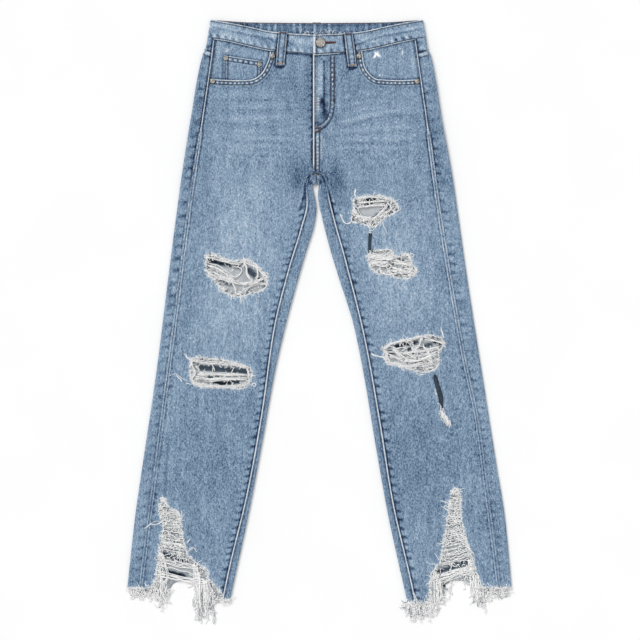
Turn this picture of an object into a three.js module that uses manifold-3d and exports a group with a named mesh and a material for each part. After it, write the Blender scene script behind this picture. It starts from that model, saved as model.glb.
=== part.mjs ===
// Ripped jeans, laid flat on their back with the front up.
// Millimetres, +Z up. +Y runs from the hems to the waist, and the wearer's right leg is at -X.
// Every cloth piece is a wall of denim. The back panels wrap round both edges of each leg
// and meet the front panels at the outseam and the inseam, on the front face.

import * as THREE from 'three';
import { mergeVertices } from 'three/addons/utils/BufferGeometryUtils.js';
import Module from 'manifold-3d';

const wasm = await Module();
wasm.setup();

// ---- Driving dimensions ----

const CLOTH = 1.1;            // one layer of denim
const GAP = 0.3;              // between neighbouring pieces
const HALF_GAP = GAP / 2;
const BAND_CLOTH = 2;         // waistband, folded double
const LEG_TOP = 4.3;          // front face above the table, on the legs
const HIP_TOP = 6.7;          // front face above the table, on the hips
const SEAT_LIFT = 1.4;        // the back pockets hold the seat off the table
const FOLD_RISE = 0.8;        // the folded edges stand a little higher than the front
const FOLD_REACH = 4.5;       // how far a folded edge takes to round over
const CENTRE = -5;            // centre back seam, and the crotch
const CROTCH = 252;           // height of the crotch point, where the inseams meet
const FLY_EDGE = -9.7;        // edge of the fly, on the wearer's left front
const FLY_UNDERLAP = 0;       // edge of the wearer's right front, under the fly
const FLY_FOOT = 322;         // height of the bottom of the fly
const FLY_RISE = 1.5;         // the fly lies on the other front
const CUT_DEPTH = 60;         // height of a cutting prism, more than the whole thickness

const BUTTON = { x: 2, y: 474, radius: 7.9, shank: 1.5, height: 3.2, slit: 17 };
const LOOP = { width: 15, length: 58, cloth: 1.2, bow: 0.8 };
const RIVET = { radius: 4.2, height: 1.4 };
const BACK_POCKET = { width: 134, height: 142, point: 22, middle: 103, top: 398 };

const FRONT_UNDER = HIP_TOP - CLOTH;
const FACING_LOW = SEAT_LIFT + CLOTH + GAP;
const COIN_LOW = FACING_LOW + CLOTH + GAP;
const BAND_TOP = HIP_TOP - 0.1;
const BAND_BACK = SEAT_LIFT;
const OVERLAP_RISE = BAND_CLOTH + GAP;

// ---- Lines of the cut: each is [height, place across], top to hem ----

const RIGHT = {
  side: -1,
  fold: [[513, -186], [481, -190.6], [463, -194.3], [456, -198.2], [343, -219.5], [241, -235.5], [78, -257],
    [-85, -277.5], [-250, -302], [-330, -313.5], [-520, -334]],
  outseam: [[513, -176], [476, -180], [343, -199], [207, -219.5], [3, -245.5], [-200, -272],
    [-520, -313]],
  inseam: [[254, -10], [252, -11], [245, -19], [233, -22], [202, -21], [161, -30.5], [88, -52.5],
    [-14, -77.5], [-150, -97], [-286, -121.5], [-422, -154], [-520, -174]],
  inner: [[254, -5.2], [237, -5.2], [230, -10], [216, -7], [200, -4.5], [160, -9.5], [119, -23],
    [78, -35], [-3, -57], [-85, -76], [-207, -98], [-330, -121.5], [-450, -147.5], [-520, -162]],
};

const LEFT = {
  side: 1,
  fold: [[513, 176], [481, 181.2], [463, 184], [456, 188.3], [343, 208.5], [241, 227], [78, 250.5],
    [-85, 276], [-250, 302], [-330, 315], [-520, 332.5]],
  outseam: [[513, 158], [476, 163], [343, 182], [207, 200.5], [71, 222], [-64, 246],
    [-166, 267.5], [-302, 285.5], [-520, 314]],
  inseam: [[254, 3.5], [252, 4.3], [245, 11], [224, 13], [207, 16.5], [173, 25], [105, 44],
    [-31, 77.5], [-167, 102], [-303, 124], [-439, 155], [-520, 172]],
  inner: [[254, -4.8], [237, -4.8], [230, -3], [200, -2.4], [160, 7.7], [119, 19.6], [78, 32],
    [-3, 57.5], [-85, 74.5], [-207, 95], [-330, 117], [-450, 143.5], [-520, 159]],
};

// Waistband edges: [place across, height], even about the middle of the waist.
const WAIST_MIDDLE = -4.7;
const WAIST_HALF = 180.6;       // half the flat width, at the top edge
const BAND_EDGES = {
  frontTop: [[0, 488], [45, 490.5], [79, 494], [113, 501.5], [147, 508.3], [181, 514.2]],
  frontFoot: [[0, 453], [46, 456.5], [85, 461.6], [119, 469], [153, 477], [187, 482]],
  backTop: [[0, 508.6], [110, 509.6], [181, 514.2]],
  backFoot: [[0, 474], [150, 476.5], [187, 482]],
};

const YOKE_SEAM = [[0, 404], [100, 430], [200, 457], [260, 470]];

// Rows at which the cloth is worked out, from the hem to above the waist.
const ROWS = [-520, -440, -360, -290, -220, -150, -80, -10, 60, 110, 150, 180, 200, 216, 230, 238,
  244, 248, CROTCH, CROTCH + 2, 285, 320, 370, 420, 456, 463, 492];

// Hem lines, from the outer edge to the inner one. The front is torn up in a notch.
const HEMS = {
  frontRight: [[-340, -452], [-288, -452], [-276, -421.5], [-269.5, -379], [-264.5, -343.5],
    [-272, -321], [-266, -299], [-257.5, -314.5], [-240.5, -324.5], [-235.5, -350], [-228.5, -387.5],
    [-211.5, -409.5], [-191, -423], [-189.5, -437], [-167.5, -460.5], [-162.5, -472.5], [-130, -475]],
  backRight: [[-340, -452], [-300, -456], [-262, -468], [-250, -446], [-228, -439], [-205, -440],
    [-195, -460], [-162, -473], [-130, -475]],
  frontLeft: [[340, -452], [283, -452], [273, -443.5], [259.5, -404.5], [249, -370.5],
    [240.5, -336.5], [239, -297.5], [230.5, -282], [223.5, -296], [220, -328], [211.5, -374],
    [206.5, -408], [196.5, -420], [188, -442], [184.5, -476], [130, -478]],
  backLeft: [[340, -452], [300, -455], [264, -462], [252, -444], [232, -440], [215, -448],
    [205, -475], [130, -478]],
};

// Rips through the front panels.
const RIPS_RIGHT = [
  [[-190, 115], [-176, 113], [-149, 102], [-125, 105], [-105, 92], [-91, 76], [-94, 57],
    [-118, 49], [-142, 44], [-162, 53], [-178, 71], [-190, 88]],
  [[-216, -64], [-186, -63], [-152, -68], [-118, -80], [-120, -104], [-135, -112], [-172, -110],
    [-214, -104]],
];
const RIPS_LEFT = [
  [[60, 209], [77, 212.5], [103, 214], [125, 206], [132, 190], [111, 178.5], [93, 163], [69, 170],
    [55, 172], [59, 194]],
  [[84, 150], [89.5, 150], [89, 123], [103, 121], [120, 122], [130, 109], [142, 115.5],
    [150.5, 114], [157, 97], [164, 88], [155.5, 76.5], [130, 76.5], [121.5, 81.5], [99.5, 83],
    [86, 98.5], [83, 122]],
  [[111.5, -42.5], [133.5, -34], [178, -24], [205, -27], [210, -39], [201.5, -51], [201.5, -73],
    [184.5, -84], [167.5, -83], [140, -75], [116.5, -70], [111.5, -56]],
  [[193.5, -92], [199, -91], [206, -112], [210.5, -128], [210, -148], [206, -147], [201, -124],
    [196, -106]],
];

// Mouth of the front pocket, from the waistband to the outseam, and the depth of its facing.
const MOUTH = {
  right: [[-84, 470], [-84.5, 457], [-88, 443], [-97.5, 424], [-113, 413], [-135, 411], [-170, 412],
    [-196, 414.5]],
  left: [[72, 470], [73, 457], [78, 432], [93, 415], [110, 412], [135, 411], [160, 412], [182, 414.5]],
};
const FACINGS = {
  right: [[-76, 430], [-84, 408], [-104, 396], [-140, 392], [-196, 394]],
  left: [[66, 430], [73, 408], [90, 396], [130, 392], [182, 394]],
};

// ---- Small tools ----

// A smooth line through a few points given as [at, value], in either order of at.
// It never swings past its points, because each slope is the harmonic mean of its neighbours.
function smooth(points) {
  const knots = [...points].sort((p, q) => p[0] - q[0]);
  const last = knots.length - 1;
  const chord = (i) => (knots[i + 1][1] - knots[i][1]) / (knots[i + 1][0] - knots[i][0]);
  const slope = knots.map((knot, i) => {
    const before = chord(Math.max(i - 1, 0));
    const after = chord(Math.min(i, last - 1));
    return before * after > 0 ? (2 * before * after) / (before + after) : 0;
  });
  return (at) => {
    let i = 0;
    while (i < last - 1 && at > knots[i + 1][0]) {
      i += 1;
    }
    const span = knots[i + 1][0] - knots[i][0];
    const t = THREE.MathUtils.clamp((at - knots[i][0]) / span, 0, 1);
    const t2 = t * t;
    const t3 = t2 * t;
    return (2 * t3 - 3 * t2 + 1) * knots[i][1] + (t3 - 2 * t2 + t) * span * slope[i]
      + (3 * t2 - 2 * t3) * knots[i + 1][1] + (t3 - t2) * span * slope[i + 1];
  };
}

// 0 below low, 1 above high, and a soft rise between them.
function rise(value, low, high) {
  return THREE.MathUtils.smoothstep(value, low, high);
}

// Keeps only the positions, merged, with the faces pointing out.
function closedBody(geometry) {
  geometry.deleteAttribute('normal');
  geometry.deleteAttribute('uv');
  const body = mergeVertices(geometry, 1e-4);
  const position = body.attributes.position;
  const index = body.index.array;
  const a = new THREE.Vector3();
  const b = new THREE.Vector3();
  const c = new THREE.Vector3();
  let volume = 0;
  for (let i = 0; i < index.length; i += 3) {
    a.fromBufferAttribute(position, index[i]);
    b.fromBufferAttribute(position, index[i + 1]);
    c.fromBufferAttribute(position, index[i + 2]);
    volume += a.dot(b.cross(c));
  }
  if (volume < 0) {
    for (let i = 0; i < index.length; i += 3) {
      [index[i + 1], index[i + 2]] = [index[i + 2], index[i + 1]];
    }
  }
  return body;
}

// A wall of cloth: a box of many segments whose points are each put in place by
// place(column, row, face), where face is 0 on one side of the cloth and 1 on the other.
function clothWall(columns, rows, place) {
  const box = new THREE.BoxGeometry(1, 1, 1, columns, rows, 1);
  const position = box.attributes.position;
  for (let i = 0; i < position.count; i += 1) {
    const column = Math.round((position.getX(i) + 0.5) * columns);
    const row = Math.round((position.getY(i) + 0.5) * rows);
    const face = Math.round(position.getZ(i) + 0.5);
    const [x, y, z] = place(column, row, face);
    position.setXYZ(i, x, y, z);
  }
  return closedBody(box);
}

function toSolid(geometry) {
  return new wasm.Manifold(new wasm.Mesh({
    numProp: 3,
    vertProperties: geometry.attributes.position.array,
    triVerts: new Uint32Array(geometry.index.array),
  }));
}

function toGeometry(solid) {
  const mesh = solid.getMesh();
  const geometry = new THREE.BufferGeometry();
  geometry.setAttribute('position', new THREE.BufferAttribute(new Float32Array(mesh.vertProperties), 3));
  geometry.setIndex(new THREE.BufferAttribute(new Uint32Array(mesh.triVerts), 1));
  return geometry;
}

// An upright prism over an outline, from low to high.
function prism(outline, low, high) {
  const shape = new THREE.Shape(outline.map(([x, y]) => new THREE.Vector2(x, y)));
  const body = new THREE.ExtrudeGeometry(shape, { depth: high - low, bevelEnabled: false });
  body.translate(0, 0, low);
  return closedBody(body);
}

function cutter(outline) {
  return toSolid(prism(outline, -CUT_DEPTH / 2, CUT_DEPTH / 2));
}

function box(xMin, xMax, yMin, yMax, zMin, zMax) {
  return prism([[xMin, yMin], [xMax, yMin], [xMax, yMax], [xMin, yMax]], zMin, zMax);
}

// ---- Heights of the layers ----

function backHeight(y) {
  return SEAT_LIFT * rise(y, 180, 248);
}

function frontHeight(y) {
  return LEG_TOP + (HIP_TOP - LEG_TOP) * rise(y, 180, 320);
}

function flyRise(x, y) {
  return FLY_RISE * (1 - rise(x, 2, 34)) * rise(y, 285, 320);
}

// ---- Waistband edges and the lines that meet them ----

const bandEdge = Object.fromEntries(
  Object.entries(BAND_EDGES).map(([name, points]) => [name, smooth(points)]),
);

function bandAt(name, x) {
  return bandEdge[name](Math.abs(x - WAIST_MIDDLE));
}

// Everything above the foot of the waistband, less the gap at its seam.
function aboveBand(name) {
  const outline = [[-260, 600], [-260, bandAt(name, -260) - GAP]];
  for (let x = -192; x <= 184; x += 8) {
    outline.push([x, bandAt(name, x) - GAP]);
  }
  outline.push([260, bandAt(name, 260) - GAP], [260, 600]);
  return cutter(outline);
}

// Everything above the yoke seam, moved by shift.
function aboveYokeSeam(shift) {
  const right = YOKE_SEAM.map(([x, y]) => [WAIST_MIDDLE - x, y + shift]).reverse();
  const left = YOKE_SEAM.map(([x, y]) => [WAIST_MIDDLE + x, y + shift]);
  return cutter([[-280, 600], ...right, ...left.slice(1), [280, 600]]);
}

function belowHem(line) {
  return cutter([...line, [line.at(-1)[0], -600], [line[0][0], -600]]);
}

// ---- Back panels and yokes ----

const ARC_STEPS = 4;
const FLAT_STEPS = 3;

// Half an ellipse round a folded edge, from its top to its foot.
// inward is the direction from the edge to the cloth, and face 1 is the inner side.
function foldPoints(edge, inward, low, high, face) {
  const wall = CLOTH * face;
  const reach = FOLD_REACH - wall;
  const middle = (low + high) / 2;
  const half = (high - low) / 2 - wall;
  const points = [];
  for (let i = 0; i <= ARC_STEPS; i += 1) {
    const angle = Math.PI * (0.5 - i / ARC_STEPS);
    const x = edge + inward * (wall + reach * (1 - Math.cos(angle)));
    points.push([x, middle + half * Math.sin(angle)]);
  }
  return points;
}

// One side of the back at height y: from the outseam on the front face, round the outer fold,
// across the table and round the inner fold to the inseam on the front face.
function backSection(leg, lines, y, face) {
  const wall = CLOTH * face;
  const low = backHeight(y);
  const high = frontHeight(y);
  const inward = -leg.side;
  const outer = foldPoints(lines.fold(y), inward, low, high + FOLD_RISE, face);
  const inner = foldPoints(lines.inner(y), -inward, low, high + FOLD_RISE, face).reverse();
  const flat = [];
  for (let i = 1; i < FLAT_STEPS; i += 1) {
    const x = THREE.MathUtils.lerp(outer.at(-1)[0], inner[0][0], i / FLAT_STEPS);
    flat.push([x, low + wall]);
  }
  const outseam = [lines.outseam(y) - inward * HALF_GAP, high - wall];
  const inseam = [lines.inseam(y) + inward * HALF_GAP, high - wall];
  return [outseam, ...outer, ...flat, ...inner, inseam];
}

function linesOf(leg) {
  return {
    fold: smooth(leg.fold),
    outseam: smooth(leg.outseam),
    inseam: smooth(leg.inseam),
    inner: smooth(leg.inner),
  };
}

function backSolid(leg, lines) {
  const sections = ROWS.map((y) => [backSection(leg, lines, y, 0), backSection(leg, lines, y, 1)]);
  const columns = sections[0][0].length - 1;
  const wall = clothWall(columns, ROWS.length - 1, (column, row, face) => {
    const [x, z] = sections[row][face][column];
    return [x, ROWS[row], z];
  });
  const top = toSolid(box(-40, 30, CROTCH - GAP, 600, SEAT_LIFT + CLOTH + 0.1, 30));
  const strips = aboveBand('frontFoot').intersect(toSolid(box(-300, 300, 300, 600, FACING_LOW, 30)));
  return toSolid(wall).subtract(top).subtract(aboveBand('backFoot')).subtract(strips);
}

function backPanel(solid, hem) {
  return toGeometry(solid.subtract(aboveYokeSeam(-HALF_GAP)).subtract(belowHem(hem)));
}

function yoke(solid) {
  return toGeometry(solid.intersect(aboveYokeSeam(HALF_GAP)));
}

// ---- Front panels ----

const FRONT_COLUMNS = 8;

// Columns are closer together beside the fly, where the cloth steps up.
function frontPoint(leg, lines, column, y, face) {
  const share = (column / FRONT_COLUMNS) ** 1.4;
  const seamIn = -leg.side * HALF_GAP;
  const upper = leg.side < 0 ? frontEdgeUnderFly(y) : FLY_EDGE;
  const inner = y > CROTCH + 1 ? upper : lines.inseam(y) - seamIn;
  const outer = lines.outseam(y) + seamIn;
  const x = THREE.MathUtils.lerp(inner, outer, share);
  const fly = leg.side > 0 ? flyRise(x, y) : 0;
  return [x, y, frontHeight(y) + fly - CLOTH * face];
}

// The wearer's right front reaches under the fly, and below the fly the two fronts only meet.
function frontEdgeUnderFly(y) {
  return y > FLY_FOOT - 10 ? FLY_UNDERLAP : FLY_EDGE - GAP;
}

function frontPanel(leg, lines, hem, mouth, rips) {
  const stepped = ROWS.flatMap((y) => (y === 320 ? [311, 313, 320] : [y]));
  const wall = clothWall(FRONT_COLUMNS, stepped.length - 1, (column, row, face) => (
    frontPoint(leg, lines, column, stepped[row], face)));
  const corner = [mouth.at(-1)[0] + leg.side * 20, mouth[0][1] + 60];
  const pocket = cutter([...mouth, [corner[0], mouth.at(-1)[1]], corner, [mouth[0][0], corner[1]]]);
  let solid = toSolid(wall).subtract(aboveBand('frontFoot')).subtract(pocket).subtract(belowHem(hem));
  for (const rip of rips) {
    solid = solid.subtract(cutter(rip));
  }
  return toGeometry(solid);
}

// ---- Pockets ----

// The facing shows in the pocket mouth: it starts at the waistband and goes down behind the front.
function pocketFacing(leg, lines, foot, low) {
  const tuck = 4;
  const outer = lines.outseam(480) + leg.side * tuck;
  const body = toSolid(prism([[outer, 490], [foot[0][0], 490], ...foot], low, low + CLOTH));
  return toGeometry(body.subtract(aboveBand('frontFoot')).subtract(aboveBand('backFoot')));
}

function coinPocket() {
  const outline = [[-164, 454], [-98, 443.5], [-98, 404], [-118, 399], [-160, 399]];
  return prism(outline, COIN_LOW, COIN_LOW + CLOTH);
}

function backPocket(side) {
  const half = BACK_POCKET.width / 2;
  const middle = CENTRE + side * BACK_POCKET.middle;
  const { top, height, point } = BACK_POCKET;
  const narrow = half - 6;
  const outline = [[-half, 0], [half, 0], [narrow, point - height], [0, -height], [-narrow, point - height]]
    .map(([x, y]) => [middle + x, top + y]);
  return prism(outline, 0, CLOTH);
}

// ---- Waistband ----

const FOOT_SPREAD = 1.0305;    // the foot of the band is wider than its top
const FRONT_STOPS = [46, 62, 78, 94, 110, 126, 142, 158, 172];
const BACK_STOPS = [150, 100, 50, 0, -50, -100, -150];

// The path of the outer face goes from the overlapping end on the wearer's left, round the
// left side, across the back, round the right side and to the end under the overlap.
// Each stop is [place across, height, which half of the waist its edges belong to].
function bandPath(face) {
  const wall = BAND_CLOTH * face;
  const front = (x, lift) => [x, BAND_TOP + lift - wall, 'front'];
  const back = (x) => [x, BAND_BACK + wall, 'back'];
  const overlap = [front(-6, OVERLAP_RISE), front(12, OVERLAP_RISE), front(26, OVERLAP_RISE * 0.8)];
  const leftFront = FRONT_STOPS.map((x) => front(x, 0));
  const rightFront = FRONT_STOPS.toReversed().map((x) => front(-x, 0));
  const underlap = [front(0, 0), front(22, 0)];
  return [
    ...overlap,
    ...leftFront,
    ...bandFold(WAIST_HALF, -1, wall),
    ...BACK_STOPS.map(back),
    ...bandFold(-WAIST_HALF, 1, wall).reverse(),
    ...rightFront,
    ...underlap,
  ];
}

function bandFold(edge, inward, wall) {
  const reach = FOLD_REACH - wall;
  const middle = (BAND_TOP + BAND_BACK) / 2;
  const half = (BAND_TOP - BAND_BACK) / 2 - wall;
  const points = [];
  for (let i = 0; i <= 6; i += 1) {
    const angle = Math.PI * (0.5 - i / 6);
    const x = edge + inward * (wall + reach * (1 - Math.cos(angle)));
    points.push([x, middle + half * Math.sin(angle), i < 3 ? 'front' : 'back']);
  }
  return points;
}

function waistband() {
  const paths = [bandPath(0), bandPath(1)];
  const wall = clothWall(paths[0].length - 1, 1, (column, row, face) => {
    const [x, z, half] = paths[face][column];
    const edge = half + (row === 1 ? 'Top' : 'Foot');
    const lean = row === 1 ? 1 : FOOT_SPREAD;
    return [WAIST_MIDDLE + x * lean, bandEdge[edge](Math.abs(x * lean)), z];
  });
  return toGeometry(toSolid(wall).subtract(buttonhole()));
}

// A slit through the overlapping end only, long enough to pass the button.
function buttonhole() {
  const half = BUTTON.shank + GAP;
  const low = BAND_TOP + HALF_GAP;
  const { x, y, slit } = BUTTON;
  return toSolid(box(x - half, x + slit, y - half, y + half, low, low + 2 * BAND_CLOTH));
}

function beltLoop(x, foot, lean, low) {
  const steps = 6;
  const rounded = low > 0 ? LOOP.bow : 0;
  return clothWall(2, steps, (column, row, face) => {
    const along = row / steps;
    const y = foot + LOOP.length * along;
    const across = (column / 2 - 0.5) * LOOP.width;
    const bow = rounded * Math.sin(Math.PI * along);
    return [x + across + lean * along, y, low + bow + LOOP.cloth * (1 - face)];
  });
}

// ---- Metal ----

function turned(profile, x, y, z) {
  const points = profile.map(([radius, height]) => new THREE.Vector2(radius, height));
  const body = new THREE.LatheGeometry(points, 20);
  body.rotateX(Math.PI / 2);
  body.translate(x, y, z);
  return closedBody(body);
}

function shankButton() {
  const { radius, shank, height, x, y } = BUTTON;
  const stem = OVERLAP_RISE + GAP;
  const base = BAND_TOP + GAP;
  const cap = [[0, 0], [shank, 0], [shank, stem], [radius - 1, stem], [radius, stem + 0.8],
    [radius - 0.4, stem + height - 0.8], [radius - 1.6, stem + height], [radius - 2.6, stem + height - 0.6],
    [0, stem + height - 0.4]];
  return turned(cap, x, y, base);
}

function rivet(x, y, seat) {
  const { radius, height } = RIVET;
  const dome = [[0, 0], [radius, 0], [radius, 0.4], [radius * 0.55, height], [radius * 0.3, height * 0.7],
    [0, height * 0.7]];
  return turned(dome, x, y, seat);
}

// The hidden zip is closed: a plain strip under the fly.
function zipStrip() {
  return box(-16, 10, 330, 450, FRONT_UNDER - GAP - CLOTH, FRONT_UNDER - GAP);
}

// ---- Fringe: plain solids as far as the loose threads reach, between front and back ----

const FRINGES = {
  right: [[-317, -442], [-317, -454], [-325.5, -456], [-320.5, -473], [-300, -476], [-286, -475],
    [-271, -494], [-253, -486], [-257, -459], [-248, -443], [-210, -442], [-214, -466], [-217, -485],
    [-211.5, -507], [-193, -514], [-181, -510], [-171, -491], [-164, -479.5], [-151, -478.5],
    [-151, -475.5], [-160, -475], [-160, -458], [-203, -428], [-262, -428]],
  left: [[159, -466], [159, -481], [147, -482], [145.5, -503], [157, -511.5], [179, -508],
    [205, -510], [215, -493], [220, -472], [231, -455], [236, -445], [246, -445], [253, -466],
    [263, -488], [278, -494.5], [291.5, -479.5], [317, -472.5], [325.5, -462], [318, -455.5],
    [318, -439], [256, -422], [204, -428]],
};

function fringe(outline) {
  return prism(outline, CLOTH + GAP, LEG_TOP - CLOTH - GAP);
}

// ---- Finishes ----

const DENIM = new THREE.MeshStandardMaterial({ color: 0x8098b0, roughness: 0.9, metalness: 0 });
const DARK_DENIM = new THREE.MeshStandardMaterial({ color: 0x6a829c, roughness: 0.92, metalness: 0 });
const THREAD = new THREE.MeshStandardMaterial({ color: 0xe0e2e0, roughness: 0.95, metalness: 0 });
const METAL = new THREE.MeshStandardMaterial({ color: 0xa39f98, roughness: 0.4, metalness: 1 });
const TAPE = new THREE.MeshStandardMaterial({ color: 0x3c4a60, roughness: 0.85, metalness: 0 });

// ---- The whole garment ----

const jeans = new THREE.Group();

function add(name, geometry, material) {
  const mesh = new THREE.Mesh(geometry, material.clone());
  mesh.name = name;
  jeans.add(mesh);
}

const rightLines = linesOf(RIGHT);
const leftLines = linesOf(LEFT);
const rightBack = backSolid(RIGHT, rightLines);
const leftBack = backSolid(LEFT, leftLines);

add('back_right', backPanel(rightBack, HEMS.backRight), DENIM);
add('back_left', backPanel(leftBack, HEMS.backLeft), DENIM);
add('yoke_right', yoke(rightBack), DENIM);
add('yoke_left', yoke(leftBack), DENIM);
add('front_right', frontPanel(RIGHT, rightLines, HEMS.frontRight, MOUTH.right, RIPS_RIGHT), DENIM);
add('front_left', frontPanel(LEFT, leftLines, HEMS.frontLeft, MOUTH.left, RIPS_LEFT), DENIM);
add('waistband', waistband(), DENIM);
add('pocket_facing_right', pocketFacing(RIGHT, rightLines, FACINGS.right, FACING_LOW), DENIM);
add('pocket_facing_left', pocketFacing(LEFT, leftLines, FACINGS.left, COIN_LOW), DENIM);
add('coin_pocket', coinPocket(), DENIM);
add('back_pocket_right', backPocket(-1), DENIM);
add('back_pocket_left', backPocket(1), DENIM);
add('fly_zip', zipStrip(), TAPE);

const LOOP_SEAT = HIP_TOP + GAP;
const frontLoops = [['right', -67, 436, 5], ['left', 56, 434, -7]];
for (const [name, x, foot, lean] of frontLoops) {
  add(`belt_loop_front_${name}`, beltLoop(x, foot, lean, LOOP_SEAT), DENIM);
}
const backLoops = [['right', -118], ['centre', WAIST_MIDDLE], ['left', 107]];
for (const [name, x] of backLoops) {
  add(`belt_loop_back_${name}`, beltLoop(x, 452, 0, 0), DENIM);
}

add('button', shankButton(), METAL);
const rivets = [
  ['rivet_pocket_right', -80, 452, HIP_TOP + GAP],
  ['rivet_pocket_left', 67, 452, HIP_TOP + GAP],
  ['rivet_side_right', -182, 409.5, HIP_TOP + GAP],
  ['rivet_side_left', 165.5, 409, HIP_TOP + GAP],
  ['rivet_coin_outer', -159.5, 448.5, COIN_LOW + CLOTH + GAP],
  ['rivet_coin_inner', -102.5, 438, COIN_LOW + CLOTH + GAP],
];
for (const [name, x, y, seat] of rivets) {
  add(name, rivet(x, y, seat), METAL);
}
add('fringe_right', fringe(FRINGES.right), THREAD);
add('fringe_left', fringe(FRINGES.left), THREAD);

export default jeans;
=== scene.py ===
"""Ripped jeans laid flat on their back, front up: every cloth panel, seam, stitch, tear and fitting.

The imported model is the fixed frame. The wearer's right leg is at -X, the waist at +Y and the table
at z = 0. Lengths below are millimetres unless a name says otherwise; meshes are made in metres.
"""

import bpy
import numpy as np
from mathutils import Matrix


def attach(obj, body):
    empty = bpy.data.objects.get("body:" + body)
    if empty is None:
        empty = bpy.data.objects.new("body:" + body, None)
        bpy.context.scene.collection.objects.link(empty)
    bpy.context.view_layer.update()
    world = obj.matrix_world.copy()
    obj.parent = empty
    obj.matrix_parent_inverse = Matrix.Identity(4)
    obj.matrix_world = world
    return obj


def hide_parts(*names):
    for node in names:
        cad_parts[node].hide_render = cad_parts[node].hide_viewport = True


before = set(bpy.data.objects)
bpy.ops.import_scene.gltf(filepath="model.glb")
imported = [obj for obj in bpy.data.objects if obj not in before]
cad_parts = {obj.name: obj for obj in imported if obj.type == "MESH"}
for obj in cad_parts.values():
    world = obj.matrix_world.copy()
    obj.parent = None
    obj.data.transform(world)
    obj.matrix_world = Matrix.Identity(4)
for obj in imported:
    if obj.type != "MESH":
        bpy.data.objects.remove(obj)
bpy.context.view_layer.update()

bl_info = {
    "name": "Ripped jeans",
    "version": (1, 0, 0),
    "blender": (4, 5, 0),
    "location": "3D View > Sidebar > Jeans",
    "description": "Builds a pair of ripped jeans laid flat, piece by piece, on the packed frame",
    "category": "Add Mesh",
}

MM = 0.001

# ---- The cut: heights and lines shared by all pieces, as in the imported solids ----

GAP = 0.3
BAND_CLOTH = 2.0
LEG_TOP = 4.3
HIP_TOP = 6.7
SEAT_LIFT = 1.4
FOLD_RISE = 0.8
FOLD_REACH = 4.5
CENTRE = -5.0
CROTCH = 252.0
FLY_EDGE = -11.1
FLY_FOOT = 322.0
FLY_RISE = 1.5
BAND_TOP = 6.6
OVERLAP_RISE = 2.3
FACING_TOP = 4.1
COIN_TOP = 5.4
LEFT_FACING_TOP = 5.3
WAIST_MIDDLE = -4.7
WAIST_HALF = 180.6
FOOT_SPREAD = 1.0305
HEM_START = -482.0

BUTTON = {"x": 2.0, "y": 474.0, "radius": 7.9, "base": 6.9}
LOOP = {"width": 15.0, "length": 58.0, "cloth": 1.2, "bow": 0.8}
BACK_POCKET = {"half": 67.0, "narrow": 61.0, "height": 142.0, "point": 22.0, "middle": 103.0, "top": 398.0}

CUTS = {
    "right": {
        "side": -1,
        "fold": [(513, -186), (481, -190.6), (463, -194.3), (456, -198.2), (343, -219.5), (241, -235.5),
                 (78, -257), (-85, -277.5), (-250, -302), (-330, -313.5), (-520, -334)],
        "outseam": [(513, -176), (476, -180), (343, -199), (207, -219.5), (3, -245.5), (-200, -272),
                    (-520, -313)],
        "inseam": [(254, -10), (252, -11), (245, -19), (233, -22), (202, -21), (161, -30.5), (88, -52.5),
                   (-14, -77.5), (-150, -97), (-286, -121.5), (-422, -154), (-520, -174)],
        "inner": [(254, -5.2), (236, -5.2), (231.5, -12), (224, -10.8), (214.7, -8.6), (206, -7), (194, -5.3),
                  (182, -6.2), (165, -8.8), (119, -23), (78, -35), (-3, -57), (-85, -76), (-207, -98),
                  (-330, -121.5), (-450, -147.5), (-520, -162)],
    },
    "left": {
        "side": 1,
        "fold": [(513, 176), (481, 181.2), (463, 184), (456, 188.3), (343, 208.5), (241, 227), (78, 250.5),
                 (-85, 276), (-250, 302), (-330, 315), (-520, 332.5)],
        "outseam": [(513, 158), (476, 163), (343, 182), (207, 200.5), (71, 222), (-64, 246), (-166, 267.5),
                    (-302, 285.5), (-520, 314)],
        "inseam": [(254, 3.5), (252, 4.3), (245, 11), (224, 13), (207, 16.5), (173, 25), (105, 44),
                   (-31, 77.5), (-167, 102), (-303, 124), (-439, 155), (-520, 172)],
        "inner": [(254, -4.8), (236, -4.8), (231.5, -0.9), (224, -2.0), (214.7, -2.6), (206, -1.7), (194, 0.3),
                  (182, 3.4), (165, 7.2), (119, 19.6), (78, 32),
                  (-3, 57.5), (-85, 74.5), (-207, 95), (-330, 117), (-450, 143.5), (-520, 159)],
    },
}

BAND_EDGES = {
    "front_top": [(0, 488), (45, 490.5), (79, 494), (113, 501.5), (147, 508.3), (181, 514.2)],
    "front_foot": [(0, 453), (46, 456.5), (85, 461.6), (119, 469), (153, 477), (187, 482)],
    "back_top": [(0, 508.6), (110, 509.6), (181, 514.2)],
    "back_foot": [(0, 474), (150, 476.5), (187, 482)],
}
YOKE_SEAM = [(0, 404), (100, 430), (200, 457), (260, 470)]

# Hem lines from the outer edge to the inner one. The front is torn up in a notch.
HEMS = {
    "front_right": [(-340, -452), (-288, -452), (-276, -421.5), (-269.5, -379), (-264.5, -343.5),
                    (-272, -321), (-266, -299), (-257.5, -314.5), (-240.5, -324.5), (-235.5, -350),
                    (-228.5, -387.5), (-211.5, -409.5), (-191, -423), (-189.5, -437), (-167.5, -460.5),
                    (-162.5, -472.5), (-130, -475)],
    "back_right": [(-340, -452), (-300, -456), (-262, -468), (-250, -446), (-228, -439), (-205, -440),
                   (-195, -460), (-162, -473), (-130, -475)],
    "front_left": [(340, -452), (283, -452), (273, -443.5), (259.5, -404.5), (249, -370.5),
                   (240.5, -336.5), (239, -297.5), (230.5, -282), (223.5, -296), (220, -328),
                   (211.5, -374), (206.5, -408), (196.5, -420), (188, -442), (184.5, -476), (130, -478)],
    "back_left": [(340, -452), (300, -455), (264, -462), (252, -444), (232, -440), (215, -448),
                  (205, -475), (130, -478)],
}

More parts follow.
